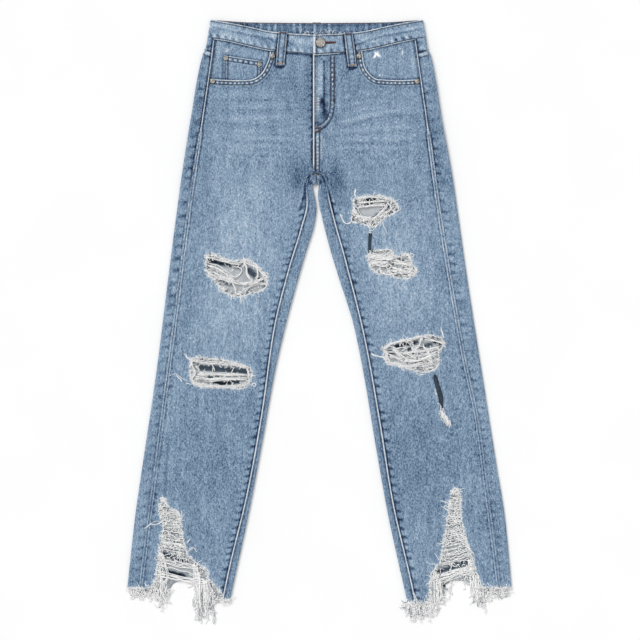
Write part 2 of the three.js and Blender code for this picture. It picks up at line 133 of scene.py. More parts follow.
# Rips through the front panels.
RIPS = {
    "right": [
        [(-190, 115), (-176, 113), (-149, 102), (-125, 105), (-105, 92), (-91, 76), (-94, 57),
         (-118, 49), (-142, 44), (-162, 53), (-178, 71), (-190, 88)],
        [(-216, -64), (-186, -63), (-152, -68), (-118, -80), (-120, -104), (-135, -112), (-172, -110),
         (-214, -104)],
    ],
    "left": [
        [(60, 209), (77, 212.5), (103, 214), (125, 206), (132, 190), (111, 178.5), (93, 163), (69, 170),
         (55, 172), (59, 194)],
        [(84, 150), (89.5, 150), (89, 123), (103, 121), (120, 122), (130, 109), (142, 115.5),
         (150.5, 114), (157, 97), (164, 88), (155.5, 76.5), (130, 76.5), (121.5, 81.5), (99.5, 83),
         (86, 98.5), (83, 122)],
        [(111.5, -42.5), (133.5, -34), (178, -24), (205, -27), (210, -39), (201.5, -51), (201.5, -73),
         (184.5, -84), (167.5, -83), (140, -75), (116.5, -70), (111.5, -56)],
        [(193.5, -92), (199, -91), (206, -112), (210.5, -128), (210, -148), (206, -147), (201, -124),
         (196, -106)],
    ],
}

# Mouth of each front pocket, from the waistband to the outseam, and the lower edge of its facing.
MOUTHS = {
    "right": [(-84, 470), (-84.5, 457), (-88, 443), (-97.5, 424), (-113, 413), (-135, 411), (-170, 412),
              (-196, 414.5)],
    "left": [(72, 470), (73, 457), (78, 432), (93, 415), (110, 412), (135, 411), (160, 412), (182, 414.5)],
}
FACING_FEET = {
    "right": [(-196, 394), (-140, 392), (-104, 396), (-84, 408), (-76, 430)],
    "left": [(66, 430), (73, 408), (90, 396), (130, 392), (182, 394)],
}
COIN = {"outer": -163.0, "inner": -98.0, "foot": 399.0, "outer_top": 453.5, "inner_top": 443.5}

# ---- Worn cloth and painted shade: soft patches of fade and shade, whiskers and creases ----

# (x, y, reach across, reach along, amount), where amount is added to the tone.
# The dark patches about the crotch, at heights 236 to 268, are painted shade of its folds.
FADES = [
    (-127, 165, 52, 95, 0.125), (-150, 20, 60, 75, 0.110), (128, 150, 52, 80, 0.085), (135, 45, 52, 65, 0.095),
    (-120, 330, 70, 50, 0.015), (110, 335, 65, 45, 0.020), (-36, 245, 19, 26, -0.15), (25, 236, 19, 26, -0.15),
    (-8, 268, 26, 22, -0.06), (8, 345, 24, 26, -0.06), (-62, 415, 26, 34, -0.060), (46, 415, 24, 30, -0.060),
    (-35, 380, 30, 50, -0.025), (-190, -235, 62, 95, -0.035), (168, -225, 70, 95, -0.045),
    (212, -262, 26, 42, -0.040), (-105, -260, 40, 140, -0.015), (125, -280, 34, 120, -0.020),
    (95, 110, 26, 50, -0.010), (-205, 250, 26, 90, -0.012), (195, 290, 22, 60, -0.010),
]
# The two short slits, which have clean edges: (line, half width).
SLITS = [([(87, 151), (85.5, 122)], 5.5), ([(196, -91), (203, -112), (208, -130), (208, -149)], 4.8)]
# Rows of stitches that hold the fly.
FLY_ROWS = {
    "edge": [(-4.3, 449), (-4.4, 390), (-4.5, 338)],
    "outer": [(25.2, 450), (25.0, 400), (24.5, 365), (20, 346), (10, 332), (-2, 325)],
    "inner": [(19.0, 450), (19.0, 400), (18.6, 367), (15, 352), (8, 341), (-3, 333)],
    "low_right": [(-6.9, 322), (-6.6, 253)],
    "low_left": [(0.0, 322), (-0.4, 253)],
}
# (height at the inner end, slope outwards, strength) of each light fold from the crotch to the hip.
WHISKERS = {
    "right": [(387, 0.00, 0.5), (371, -0.02, 0.8), (352, -0.03, 1.0), (340, 0.01, 0.7), (327, -0.02, 0.6),
              (311, 0.02, 1.1), (297, 0.03, 0.7), (283, 0.06, 0.6), (268, 0.08, 0.4)],
    "left": [(384, 0.02, 0.5), (368, 0.05, 0.6), (352, 0.10, 0.7), (334, 0.16, 1.3), (318, 0.10, 0.7),
             (304, 0.07, 1.0), (291, 0.05, 0.8), (277, 0.08, 0.5), (263, 0.10, 0.4)],
}
# (points, half width, height, tone) of single creases on the front.
# Their tone is partly worn and unworn cloth and partly painted light and shade: dark in the folds, light on
# the ridges beside them, as at the crotch.
CREASES = [
    ([(158, 72), (150, 45), (140, 18)], 4.0, 0.7, -0.050),
    ([(127, 18), (146, 2), (172, -15)], 3.5, 0.7, -0.045), ([(150, 55), (143, 30)], 6.0, 0.3, 0.030),
    ([(-115, -122), (-118, -142)], 3.0, 0.6, -0.050),
    ([(-257, -208), (-260, -250), (-262, -299)], 2.6, -0.9, -0.120),
    ([(-253, -215), (-256, -250), (-257, -290)], 2.6, 0.7, 0.040),
    ([(-16, 252), (-23, 237), (-25.5, 217), (-33, 190)], 1.8, -0.5, -0.26),
    ([(-19.5, 254), (-27, 238), (-29.5, 219), (-37, 192)], 1.6, 0.4, 0.10),
    ([(1, 254), (9.5, 238), (15, 221), (21, 200), (24, 188)], 1.8, -0.5, -0.26),
    ([(4.5, 256), (13, 240), (19, 222), (26, 200)], 1.6, 0.4, 0.10),
    ([(-14, 256), (-27, 238), (-29, 212)], 5.0, 0.3, -0.050),
    ([(4, 256), (17, 238), (21, 212)], 5.0, 0.3, -0.050),
    ([(-30, 250), (-46, 226), (-62, 196)], 7.0, 0.5, -0.020),
    ([(24, 250), (42, 226), (58, 198)], 7.0, 0.5, -0.020), ([(-95, 420), (-40, 350)], 5.0, 0.5, -0.030),
    ([(78, 415), (30, 345)], 5.0, 0.5, -0.030), ([(-60, 205), (-38, 222)], 3.0, 0.5, 0.035),
    ([(-70, 190), (-42, 209)], 3.0, 0.5, 0.040), ([(-75, 170), (-45, 190)], 3.0, 0.4, 0.030),
    ([(62, 205), (34, 222)], 3.0, 0.5, 0.030), ([(-180, -180), (-150, -300)], 12.0, 0.6, -0.012),
    ([(150, -200), (180, -330)], 12.0, 0.6, -0.012), ([(-130, -60), (-105, -10)], 7.0, 0.5, 0.015),
    ([(90, -60), (110, -5)], 7.0, 0.5, 0.015),
]
# Similar creases on the back, which lies on the table: they stand up into the leg.
BACK_CREASES = [
    ([(-200, 60), (-90, 30)], 6.0, 0.8, 0.035), ([(-205, 30), (-80, 5)], 5.0, 0.7, 0.030),
    ([(-210, -5), (-90, -15)], 6.0, 0.8, 0.035), ([(200, 60), (95, 30)], 6.0, 0.8, 0.035),
    ([(210, 25), (90, 0)], 5.0, 0.7, 0.030), ([(215, -10), (100, -22)], 6.0, 0.8, 0.035),
    ([(-190, 205), (-30, 225)], 7.0, 0.9, 0.030), ([(170, 205), (20, 225)], 7.0, 0.9, 0.030),
    ([(-230, -200), (-140, -330)], 9.0, 0.7, 0.015), ([(230, -200), (150, -330)], 9.0, 0.7, 0.015),
]

# ---- Tears: strands laid across each one as (points, how many, how far they spread) ----

STRANDS = {
    "thigh_right": [
        ([(-195, 112), (-179, 110), (-162, 104), (-145, 99), (-133, 100)], 12, 2.0),
        ([(-196, 92), (-178, 88), (-162, 80), (-147, 71)], 30, 9.5),
        ([(-193, 83), (-179, 76), (-166, 73), (-149, 66)], 16, 4.0),
        ([(-158, 79), (-142, 76), (-132, 86), (-134, 92), (-149, 94)], 2, 0.5),
        ([(-129, 102), (-124, 93), (-123, 82), (-118, 74), (-112, 70)], 5, 1.3),
        ([(-139, 95), (-135, 101), (-129, 103), (-127, 99), (-130, 94)], 3, 0.8),
        ([(-108, 97), (-105, 85), (-106, 76), (-111, 70)], 5, 1.0),
        ([(-154, 75), (-140, 66), (-128, 65), (-110, 68), (-93, 75)], 12, 2.0),
        ([(-145, 51), (-135, 49), (-123, 58), (-108, 65), (-89, 65)], 14, 2.6),
        ([(-134, 49), (-134, 39), (-133, 31)], 3, 0.5),
        ([(-128, 102), (-118, 97), (-106, 92), (-96, 82), (-86, 75)], 9, 1.8),
        ([(-172, 56), (-170, 51), (-165, 51), (-162, 55), (-164, 60), (-169, 61), (-172, 56)], 2, 0.3),
        ([(-150, 71), (-145, 61), (-142, 51)], 5, 1.5),
    ],
    "knee_right": [
        ([(-220, -63), (-203, -68), (-178, -70), (-149, -72), (-123, -78)], 16, 1.7),
        ([(-220, -66), (-217, -76), (-213, -87), (-218, -97)], 10, 2.2),
        ([(-210, -73), (-203, -83), (-198, -92)], 6, 1.4), ([(-182, -73), (-178, -83)], 2, 0.4),
        ([(-146, -78), (-150, -87)], 2, 0.4), ([(-123, -76), (-120, -90), (-120, -104)], 5, 1.0),
        ([(-205, -88), (-186, -88.5), (-161, -89), (-122, -90)], 18, 1.8),
        ([(-212, -95), (-190, -99), (-166, -97), (-122, -97)], 20, 3.0),
        ([(-218, -102), (-196, -108), (-176, -109), (-149, -110), (-120, -105)], 20, 2.0),
        ([(-220, -102), (-232, -97), (-244, -88), (-249, -88), (-258, -94), (-261, -102), (-262, -119)],
         1, 0.0),
        ([(-220, -105), (-230, -104), (-237, -97), (-246, -88)], 1, 0.0),
        ([(-217, -66), (-225, -60), (-228, -54)], 5, 0.9),
        ([(-115, -105), (-111, -110), (-108, -107), (-110, -104), (-115, -105)], 2, 0.3),
    ],
    "thigh_left": [
        ([(62, 224), (60, 216), (64, 209)], 5, 1.0),
        ([(64, 210), (79, 212), (99, 212), (113, 211), (125, 206)], 13, 1.5),
        ([(65, 203), (82, 204), (99, 205.5), (113, 206)], 10, 1.1),
        ([(67, 196), (82, 198), (103, 200), (113, 202)], 7, 2.2),
        ([(113, 207), (120, 201), (125, 192), (130, 189)], 13, 2.6),
        ([(116, 201), (108, 189), (98, 180), (89, 173)], 9, 1.5),
        ([(123, 192), (111, 185), (99, 175), (93, 167)], 10, 1.9),
        ([(59, 197), (65, 185), (72, 177), (86, 172)], 16, 3.6), ([(60, 178), (76, 175), (88, 174)], 18, 4.2),
        ([(86, 173), (87, 160), (86, 151)], 10, 1.3),
        ([(35, 184), (38, 175), (43, 168), (50, 167), (55, 172)], 3, 0.8),
        ([(92, 158), (99, 165), (105, 172), (110, 162), (113, 153), (118, 148)], 1, 0.0),
        ([(105, 173), (105, 165)], 2, 0.3),
    ],
    "above_knee_left": [
        ([(85, 116), (99, 112), (113, 110), (127, 112)], 52, 5.0),
        ([(87, 102), (103, 99), (118, 99)], 34, 4.6),
        ([(140, 102), (140, 112), (147, 116), (154, 109), (154, 100)], 10, 1.2),
        ([(125, 102), (140, 99), (157, 95)], 22, 4.4), ([(120, 90), (140, 87), (162, 85)], 26, 4.4),
        ([(104, 90), (112, 84), (124, 84)], 16, 3.4),
        ([(128, 98), (133, 90), (140, 94), (136, 101), (128, 98)], 3, 0.6),
        ([(146, 94), (152, 88), (158, 92), (154, 98), (146, 94)], 3, 0.6),
        ([(112, 96), (117, 90), (123, 94), (118, 99), (112, 96)], 3, 0.6),
        ([(103, 95), (103, 85), (110, 81), (116, 88), (122, 82), (128, 79), (133, 88), (140, 80), (149, 78),
          (156, 85), (162, 78)], 4, 1.0),
    ],
    "knee_left": [
        ([(106, -46), (120, -39), (137, -34), (154, -31), (164, -27), (178, -26)], 13, 1.6),
        ([(178, -27), (191, -31), (205, -35), (212, -34)], 8, 1.1),
        ([(212, -36), (210, -24), (207, -14), (207, -7)], 5, 0.7),
        ([(176, -19), (173, -27), (169, -39), (161, -48)], 6, 1.3),
        ([(88, -54), (96, -58), (106, -60), (113, -66)], 3, 0.6),
        ([(110, -51), (115, -61), (118, -70)], 13, 3.6), ([(123, -42), (133, -53), (144, -61)], 17, 3.6),
        ([(144, -54), (161, -51), (184, -48), (205, -42)], 13, 1.5),
        ([(144, -60), (164, -58), (188, -53), (205, -48)], 9, 1.8),
        ([(144, -65), (164, -66), (184, -60), (198, -54)], 15, 1.8),
        ([(113, -70), (130, -71), (150, -75), (164, -73), (178, -68)], 15, 1.8),
        ([(167, -76), (181, -75), (195, -71)], 24, 5.0), ([(191, -51), (200, -58), (198, -71)], 16, 3.0),
        ([(137, -71), (140, -80), (144, -83)], 1, 0.0), ([(184, -63), (193, -71), (203, -77)], 2, 0.5),
        ([(164, -83), (167, -90), (178, -88)], 2, 0.6),
        ([(207, -151), (212, -160), (217, -168), (220, -178)], 40, 2.8),
        ([(206, -150), (209, -160), (214, -170)], 14, 2.0),
        ([(150, -30), (160, -45), (168, -62)], 12, 3.2), ([(118, -48), (140, -50), (165, -62)], 12, 3.0),
        ([(175, -40), (185, -55), (190, -72)], 8, 2.0),
        ([(126, -46), (148, -42.5), (164, -41)], 6, 0.7), ([(108, -50), (122, -58), (140, -66)], 10, 2.0),
    ],
}
RIP_OF = {"thigh_right": ("right", 0), "knee_right": ("right", 1), "thigh_left": ("left", 0),
          "above_knee_left": ("left", 1), "knee_left": ("left", 2)}

# Deep shade inside the legs, seen between the strands: (start, end, half width).
SLOTS = [
    ((-190, 105), (-166, 99), 2.4), ((-166, 99), (-139, 95), 3.2), ((-120, 88), (-111, 80), 4.5),
    ((-108, 73), (-98, 70), 2.6), ((-164, 70), (-152, 65), 3.2),
    ((-205, -77), (-183, -79), 4.2), ((-181, -79), (-147, -82), 4.4), ((-145, -83), (-123, -84), 4.0),
    ((-179, -105), (-139, -102), 2.4), ((-188, -94), (-173, -93), 2.0),
    ((71, 207), (105, 208), 2.6), ((76, 199.5), (88, 200), 1.8), ((110, 194), (116, 197), 2.2),
    ((103, 182), (110, 190), 2.0), ((94, 178), (99, 182), 1.8), ((111, 204), (118, 205), 1.8),
    ((111, 100), (118, 97), 2.4), ((127, 101), (129, 97), 2.2), ((116, 92), (123, 93), 2.0),
    ((117, 88), (124, 88), 2.0), ((141, 105), (144, 100), 2.0),
    ((130, -42), (156, -36.5), 2.6), ((157, -36), (166, -34), 2.2), ((173, -42), (188, -39), 3.0),
    ((193, -33), (208, -37), 2.2), ((149, -48), (157, -44), 2.0), ((145, -58), (162, -54), 2.0),
    ((166, -70), (184, -65), 2.6), ((116, -54), (125, -51), 3.6),
    ((-269, -394), (-248, -400), 3.4), ((-248, -402), (-229, -407), 3.0),
    ((-262, -424), (-229, -432), 2.4), ((202, -424), (222, -420), 3.0), ((222, -418), (250, -408), 4.2),
    ((203, -450), (214, -448), 2.6),
]

FRONT_LOOPS = [("front_right", -67, 436, 5), ("front_left", 56, 434, -7)]
BACK_LOOPS = [("back_right", -118), ("back_centre", WAIST_MIDDLE), ("back_left", 107)]

# ---- Sizes and colours that a user may change ----


def paint(red, green, blue):
    """A linear colour from 0 to 255 display values: v / 12.92 near black, ((v + 0.055) / 1.055)^2.4 above."""
    shares = np.array([red, green, blue]) / 255
    linear = np.where(shares <= 0.04045, shares / 12.92, ((shares + 0.055) / 1.055) ** 2.4)
    return tuple(float(v) for v in linear)


def length_property(title, text, millimetres):
    """A length that a user may change, given in mm and kept in metres."""
    return bpy.props.FloatProperty(
        name=title, description=text, default=millimetres * MM, min=0.0, unit="LENGTH", precision=5)


def colour_property(title, text, *display):
    """A colour that a user may change, given as three display values."""
    return bpy.props.FloatVectorProperty(
        name=title, description=text, default=paint(*display), size=3, min=0.0, max=1.0, subtype="COLOR")


class JeansSizes(bpy.types.PropertyGroup):
    """Sizes of the cloth, its puckers and its threads."""

    cloth: length_property("Cloth", "Thickness of one layer of denim", 1.05)
    pucker: length_property("Pucker height", "How far the cloth ropes up beside a seam", 0.55)
    whisker: length_property("Whisker height", "How far the folds across the hips stand up", 0.45)
    stitch_pitch: length_property("Stitch pitch", "From one stitch to the next", 3.4)
    stitch: length_property("Stitch length", "Length of one stitch", 2.8)
    stitch_radius: length_property("Stitch radius", "Half the thickness of the sewing thread", 0.52)
    yarn: length_property("Yarn radius", "Half the thickness of a bare weft yarn", 0.45)
    fray: length_property("Fray length", "How far loose yarn reaches past a torn edge", 6.0)
    grain: bpy.props.FloatProperty(
        name="Grain", description="Strength of the mottled grain of the denim", default=1.0, min=0.0, max=2.0)


class JeansColours(bpy.types.PropertyGroup):
    """Colours of the denim from its darkest to its palest, and of everything sewn to it."""

    # The denim's ramp runs from ink to bare; its darkest stops show unworn cloth and the painted shade laid
    # into the tone.
    ink: colour_property("Deepest blue", "Denim in the deepest creases", 14, 24, 44)
    deep: colour_property("Dark blue", "Unfaded denim", 35, 55, 90)
    shaded: colour_property("Shaded blue", "Denim where little is worn", 82, 107, 134)
    mid: colour_property("Worn blue", "Denim over most of the legs", 129, 153, 177)
    pale: colour_property("Pale blue", "Denim on the fades", 164, 185, 205)
    bare: colour_property("Bare edge", "Denim worn through to its white weft", 222, 228, 230)
    inside: colour_property("Inside", "Wrong side of the cloth", 208, 212, 215)
    gloom: colour_property("Inside in shade", "Wrong side deep inside a leg", 22, 28, 36)
    yarn: colour_property("Bare yarn", "White weft yarn in the tears and the fringe", 253, 254, 253)
    grey_yarn: colour_property("Grey yarn", "Greyer yarn mixed into the white", 160, 170, 178)
    topstitch: colour_property("Topstitch", "Brown sewing thread", 84, 68, 60)
    hollow: colour_property("Hollow", "Shaded cloth inside a leg, seen through a tear", 84, 99, 114)
    rust: colour_property("Rust thread", "Reddish thread of the buttonhole and the fly", 104, 66, 54)
    copper: colour_property("Bartack", "Copper coloured bar tacks", 186, 146, 116)
    seam_thread: colour_property("Seam thread", "Pale thread of the long seams", 176, 190, 202)
    metal: colour_property("Button metal", "Worn nickel and copper of the button", 196, 190, 184)
    rivet: colour_property("Rivet metal", "Worn brass of the rivets", 186, 184, 176)
    tape: colour_property("Zip tape", "Woven tape of the zip", 60, 74, 96)


def sizes():
    return bpy.context.scene.jeans_sizes


def colours():
    return bpy.context.scene.jeans_colours


# ---- Curves, distances and noise ----


def smooth(points):
    """A curve through [at, value] points: cubic between neighbours, each slope the harmonic mean of the
    two chords beside it and level where they disagree, so that it never swings past its points."""
    at, value = np.array(sorted(points), float).T
    chord = np.diff(value) / np.diff(at)
    before = np.concatenate([chord[:1], chord])
    after = np.concatenate([chord, chord[-1:]])
    agree = before * after > 0
    total = np.where(agree, before + after, 1.0)
    slope = np.where(agree, 2 * before * after / total, 0.0)

    def curve(place):
        place = np.asarray(place, float)
        i = np.clip(np.searchsorted(at, place) - 1, 0, len(at) - 2)
        span = at[i + 1] - at[i]
        t = np.clip((place - at[i]) / span, 0, 1)
        start = (2 * t**3 - 3 * t**2 + 1) * value[i] + (t**3 - 2 * t**2 + t) * span * slope[i]
        return start + (3 * t**2 - 2 * t**3) * value[i + 1] + (t**3 - t**2) * span * slope[i + 1]

    return curve


def rounded(points, steps, closed=False):
    """A line through the points with round corners: a Catmull-Rom cubic between each two neighbours."""
    p = np.array(points, float)
    padded = np.concatenate([p[-1:], p, p[:2]] if closed else [p[:1], p, p[-1:]])
    before, here, after, beyond = (padded[k:len(padded) - 3 + k, None, :] for k in range(4))
    t = (np.arange(steps) / steps)[None, :, None]
    line = 0.5 * (2 * here + (after - before) * t + (2 * before - 5 * here + 4 * after - beyond) * t**2
                  + (3 * here - before - 3 * after + beyond) * t**3)
    line = line.reshape(-1, p.shape[1])
    return line if closed else np.concatenate([line, p[-1:]])


def running_length(line):
    """Length of a line from its start to each of its points."""
    runs = np.diff(line, axis=0)
    return np.concatenate([[0], np.cumsum(np.hypot(runs[:, 0], runs[:, 1]))])


def at_lengths(line, places):
    """Points of a line at the given lengths from its start."""
    reach = running_length(line)
    return np.stack([np.interp(places, reach, line[:, k]) for k in (0, 1)], -1)


def headings_of(line):
    """Unit direction of a line at each of its points."""
    heading = np.gradient(np.asarray(line, float), axis=0)
    return heading / np.maximum(np.hypot(heading[:, 0], heading[:, 1]), 1e-9)[:, None]


def leftward(heading):
    """The way to the left of each direction."""
    return np.stack([-heading[:, 1], heading[:, 0]], -1)


def resample(line, pitch):
    """Points every pitch along a line of straight runs, and the direction of the line at each."""
    line = np.asarray(line, float)
    length = running_length(line)[-1]
    points = at_lengths(line, np.linspace(0, length, max(2, int(length / pitch) + 1)))
    return points, headings_of(points)


def offset(line, distance):
    """A line moved sideways by distance, to the left of its direction."""
    return line + distance * leftward(headings_of(line))


def line_distance(x, y, line, closed=False):
    """Distance of each place from the nearest of a line's straight runs."""
    line = np.asarray(line, float)
    starts = line if closed else line[:-1]
    ends = np.roll(line, -1, axis=0) if closed else line[1:]
    nearest = np.full(np.shape(x), 1e9)
    for (x0, y0), (x1, y1) in zip(starts, ends):
        dx, dy = x1 - x0, y1 - y0
        t = np.clip(((x - x0) * dx + (y - y0) * dy) / max(dx * dx + dy * dy, 1e-9), 0, 1)
        nearest = np.minimum(nearest, np.hypot(x - x0 - t * dx, y - y0 - t * dy))
    return nearest


def within(x, y, ring):
    """True inside a closed line: a ray to the right of the place crosses the line an odd number of times."""
    odd = np.zeros(np.shape(x), bool)
    for (x0, y0), (x1, y1) in zip(ring, np.roll(ring, -1, axis=0)):
        if y0 != y1:
            crosses = (y0 > y) != (y1 > y)
            odd ^= crosses & (x < x0 + (y - y0) * (x1 - x0) / (y1 - y0))
    return odd


FAR = 60.0


def clearance(x, y, ring):
    """Distance from the edge of a hole, negative inside it, worked out near the hole only."""
    ring = np.asarray(ring, float)
    x, y = np.broadcast_arrays(np.asarray(x, float), np.asarray(y, float))
    low, high = ring.min(0) - 16, ring.max(0) + 16
    near = (x > low[0]) & (x < high[0]) & (y > low[1]) & (y < high[1])
    result = np.full(x.shape, FAR)
    distance = line_distance(x[near], y[near], ring, closed=True)
    result[near] = np.where(within(x[near], y[near], ring), -distance, distance)
    return result


def rise(value, low, high):
    """0 below low, 1 above high, and a soft rise 3t² - 2t³ between them."""
    t = np.clip((np.asarray(value, float) - low) / (high - low), 0, 1)
    return t * t * (3 - 2 * t)


def fall(value, low, high):
    """1 below low, 0 above high, and a soft fall between them."""
    return 1 - rise(value, low, high)


def bump(distance, width):
    """A soft bump exp(-(distance / width)²)."""
    return np.exp(-((np.asarray(distance, float) / width) ** 2))


def scatter(column, row, seed):
    """A fixed number from -1 to 1 for each whole-numbered place, from mixing its digits."""
    column, row = column.astype(np.int64), row.astype(np.int64)
    n = (column * 374761393 + row * 668265263 + seed * 974634777) & 0xFFFFFFFF
    n = ((n ^ (n >> 13)) * 1274126177) & 0xFFFFFFFF
    return ((n ^ (n >> 16)) & 0xFFFF) / 32767.5 - 1


def noise(x, y, seed):
    """Soft noise from -1 to 1: scattered values on a unit lattice, blended by 3t² - 2t³ between corners."""
    x, y = np.broadcast_arrays(np.asarray(x, float), np.asarray(y, float))
    x0, y0 = np.floor(x), np.floor(y)
    tx, ty = rise(x - x0, 0, 1), rise(y - y0, 0, 1)
    low = scatter(x0, y0, seed) * (1 - tx) + scatter(x0 + 1, y0, seed) * tx
    high = scatter(x0, y0 + 1, seed) * (1 - tx) + scatter(x0 + 1, y0 + 1, seed) * tx
    return low * (1 - ty) + high * ty


BAND = {name: smooth(points) for name, points in BAND_EDGES.items()}
YOKE = smooth(YOKE_SEAM)


def band_edge(name, x):
    """Height of an edge of the waistband at place x, even about the middle of the waist."""
    return BAND[name](np.abs(np.asarray(x, float) - WAIST_MIDDLE))


def yoke_seam(x):
    """Height of the yoke's seam at place x, even about the middle of the waist."""
    return YOKE(np.abs(np.asarray(x, float) - WAIST_MIDDLE))


class Leg:
    """One side of the jeans: its long lines as curves of height, its tears, hems and pocket mouth."""

    def __init__(self, name):
        cut = CUTS[name]
        self.name = name
        self.side = cut["side"]
        self.fold = smooth(cut["fold"])
        self.outseam = smooth(cut["outseam"])
        self.inseam = smooth(cut["inseam"])
        self.inner = smooth(cut["inner"])
        self.rips = [rounded(rip, 5, closed=True) for rip in RIPS[name]]
        self.front_hem = self.hem_ring(HEMS["front_" + name])
        self.back_hem = self.hem_ring(HEMS["back_" + name])
        self.mouth = rounded(MOUTHS[name], 6)

    def hem_ring(self, line):
        """The hem line closed far below, so that what is inside the ring is cut away."""
        edge = rounded(line, 3)
        corners = [(edge[-1, 0], -620), (edge[0, 0], -620)]
        return np.concatenate([edge, corners])

    def mouth_ring(self):
        """The pocket mouth closed past the waistband and the outseam."""
        far = self.side * 320
        corners = [(far, self.mouth[-1, 1]), (far, 620), (self.mouth[0, 0], 620)]
        return np.concatenate([self.mouth, corners])

    def front_inner(self, y):
        """Inner edge of the front: the inseam up to the crotch, then the fly. The wearer's right front
        reaches under the fly."""
        upper = FLY_EDGE if self.side > 0 else np.where(y > FLY_FOOT - 10, 0.0, FLY_EDGE - GAP)
        return np.where(y > CROTCH + 1, upper, self.inseam(y) + self.side * GAP / 2)

    def from_outseam(self, x, y):
        """Distance in from the outseam, negative on the strip of the back panel beside it."""
        return (self.outseam(y) - x) * self.side

    def from_inseam(self, x, y):
        """Distance in from the inseam, negative on the strip of the back panel beside it."""
        return (x - self.inseam(y)) * self.side

    def tear_clearance(self, x, y):
        """Distance from the nearest rip or torn hem of the front, made uneven by noise 2.6 mm across
        except at the clean slits."""
        nearest = clearance(x, y, self.front_hem)
        for rip in self.rips:
            nearest = np.minimum(nearest, clearance(x, y, rip))
        ragged = 1.0 * noise(np.asarray(x) / 2.6, np.asarray(y) / 2.6, 71) * slit_free(x, y)
        return np.where(nearest < FAR, nearest + ragged, FAR)


def slit_free(x, y):
    """0 at the clean slits and 1 away from them."""
    free = np.ones(np.shape(x))
    for line, half in SLITS:
        free = np.minimum(free, rise(line_distance(x, y, line), half, half + 3))
    return free


LEGS = {name: Leg(name) for name in ("right", "left")}

# ---- Heights of the layers, how worn they are and the shade painted on them ----


def back_height(y):
    """Outer face of the back where it lies down: on the table, and lifted a little at the seat."""
    return SEAT_LIFT * rise(y, 180, 248)


def front_height(y):
    """Top face of the front, without its relief: it steps up softly from the legs to the hips."""
    return LEG_TOP + (HIP_TOP - LEG_TOP) * rise(y, 180, 320)


def fly_rise(x, y):
    """How far the wearer's left front is lifted by the fly under it."""
    return FLY_RISE * fall(x, 2, 34) * rise(y, 285, 320)


def roping(distance, along, pitch, seed, peak=4.5, width=4.5):
    """Puckers beside a seam, from -1 to 1: a wave along the seam that leans with distance, whose pitch
    wanders by noise, strongest at the peak distance and gone three widths away."""
    wander = 0.55 * noise(along / 45, np.full_like(along, seed * 1.7), seed)
    phase = 2 * np.pi * ((along + 0.15 * distance) / pitch + wander)
    wave = np.sin(phase) + 0.35 * np.sin(2 * phase + 1.1)
    swell = 0.85 + 0.45 * noise(along / 23, np.full_like(along, 3.3), seed + 5)
    return wave * bump(distance - peak, width) * swell


def rope_tone(wave):
    """Puckers are pale on top, where they are worn, and dark in the folds between: partly unworn dye, partly
    painted shade.
    """
    return 0.09 * np.maximum(wave, 0) - 0.20 * np.maximum(-wave - 0.10, 0)


def seam_roping(leg, x, y):
    """The puckers of the long seams over one side of the front, for both panels that meet there."""
    out, inner = leg.from_outseam(x, y), leg.from_inseam(x, y)
    upper = rise(y, -40, 120)
    strip_pitch = 19.0 if leg.side < 0 else 15.0
    strip = roping(-out, y, strip_pitch, 11, 8.5, 7.0) * (0.62 + 0.34 * upper)
    strip_front = roping(out, y, 15.0, 13, 5.0, 4.0) * (0.60 - 0.25 * upper)
    inner_pitch = 12.75 if leg.side < 0 else 15.0
    below_crotch = 1 - rise(y, 206, 226)
    inner_front = 1.35 * roping(inner, y, inner_pitch, 17, 6.5, 4.8) * below_crotch
    return np.where(out < 0, strip, strip_front) + np.where(inner > 0, inner_front, 0.0)


def whisker_waves(leg, x, y):
    """Folds across the hip from 0 to 1: a soft ridge on each whisker's line, which wavers by noise and fades
    at both ends."""
    across = np.abs(x - CENTRE)
    ends = rise(across, 22, 60) * fall(across, 130, 196)
    waver = 4.0 * noise(x / 42, y / 60, 31)
    total = np.zeros(np.shape(x))
    for start, slope, strength in WHISKERS[leg.name]:
        middle = start + slope * across + waver
        total += strength * bump(y - middle, 4.2) - 0.55 * strength * bump(y - middle + 8.0, 4.0)
    return total * ends


def crease_sum(x, y, creases, part):
    """The sum of soft ridges exp(-(distance / width)²) along listed lines; part 0 is height, 1 tone."""
    total = np.zeros(np.shape(x))
    for points, width, height, tone in creases:
        line = np.array(points, float)
        low, high = line.min(0) - 3 * width, line.max(0) + 3 * width
        near = (x > low[0]) & (x < high[0]) & (y > low[1]) & (y < high[1])
        total[near] += (height, tone)[part] * bump(line_distance(x[near], y[near], line), width)
    return total


def front_relief(leg, x, y):
    """How far the front surface stands above its level: puckers, whiskers, creases and a slow waviness."""
    size = sizes()
    pucker, whisker = size.pucker / MM, size.whisker / MM
    slow = 0.35 * noise(x / 70, y / 95, 41) + 0.18 * noise(x / 24, y / 34, 42)
    slow *= 1 - rise(y, 340, 390)
    height = pucker * seam_roping(leg, x, y) + whisker * whisker_waves(leg, x, y)
    return height + crease_sum(x, y, CREASES, 0) + slow


def front_tone(leg, x, y):
    """Tone of the front cloth from 0, ink, to 1, bare: fades, whiskers, creases and worn puckers, and painted
    shade.
    """
    tone = np.full(np.shape(x), 0.568)
    for fx, fy, across, along, amount in FADES:
        tone += amount * np.exp(-(((x - fx) / across) ** 2) - ((y - fy) / along) ** 2)
    tone += 0.082 * whisker_waves(leg, x, y) + crease_sum(x, y, CREASES, 1)
    tone += 0.020 * noise(x / 26, y / 38, 51) + 0.020 * noise(x / 8, y / 12, 52)
    # The puckers' folds are partly painted shade; the belt loops cast painted shadow.
    tone += rope_tone(seam_roping(leg, x, y)) - 0.40 * painted_loop_shadow(x, y)
    # Painted shade in the groove beside the outseam ridge.
    out = leg.from_outseam(x, y)
    groove = 0.14 + 0.24 * rise(y, 170, 340)
    edge = np.where(y > 322, 2.6, 4.4)
    return tone - groove * bump(np.abs(out) - edge, 1.3)


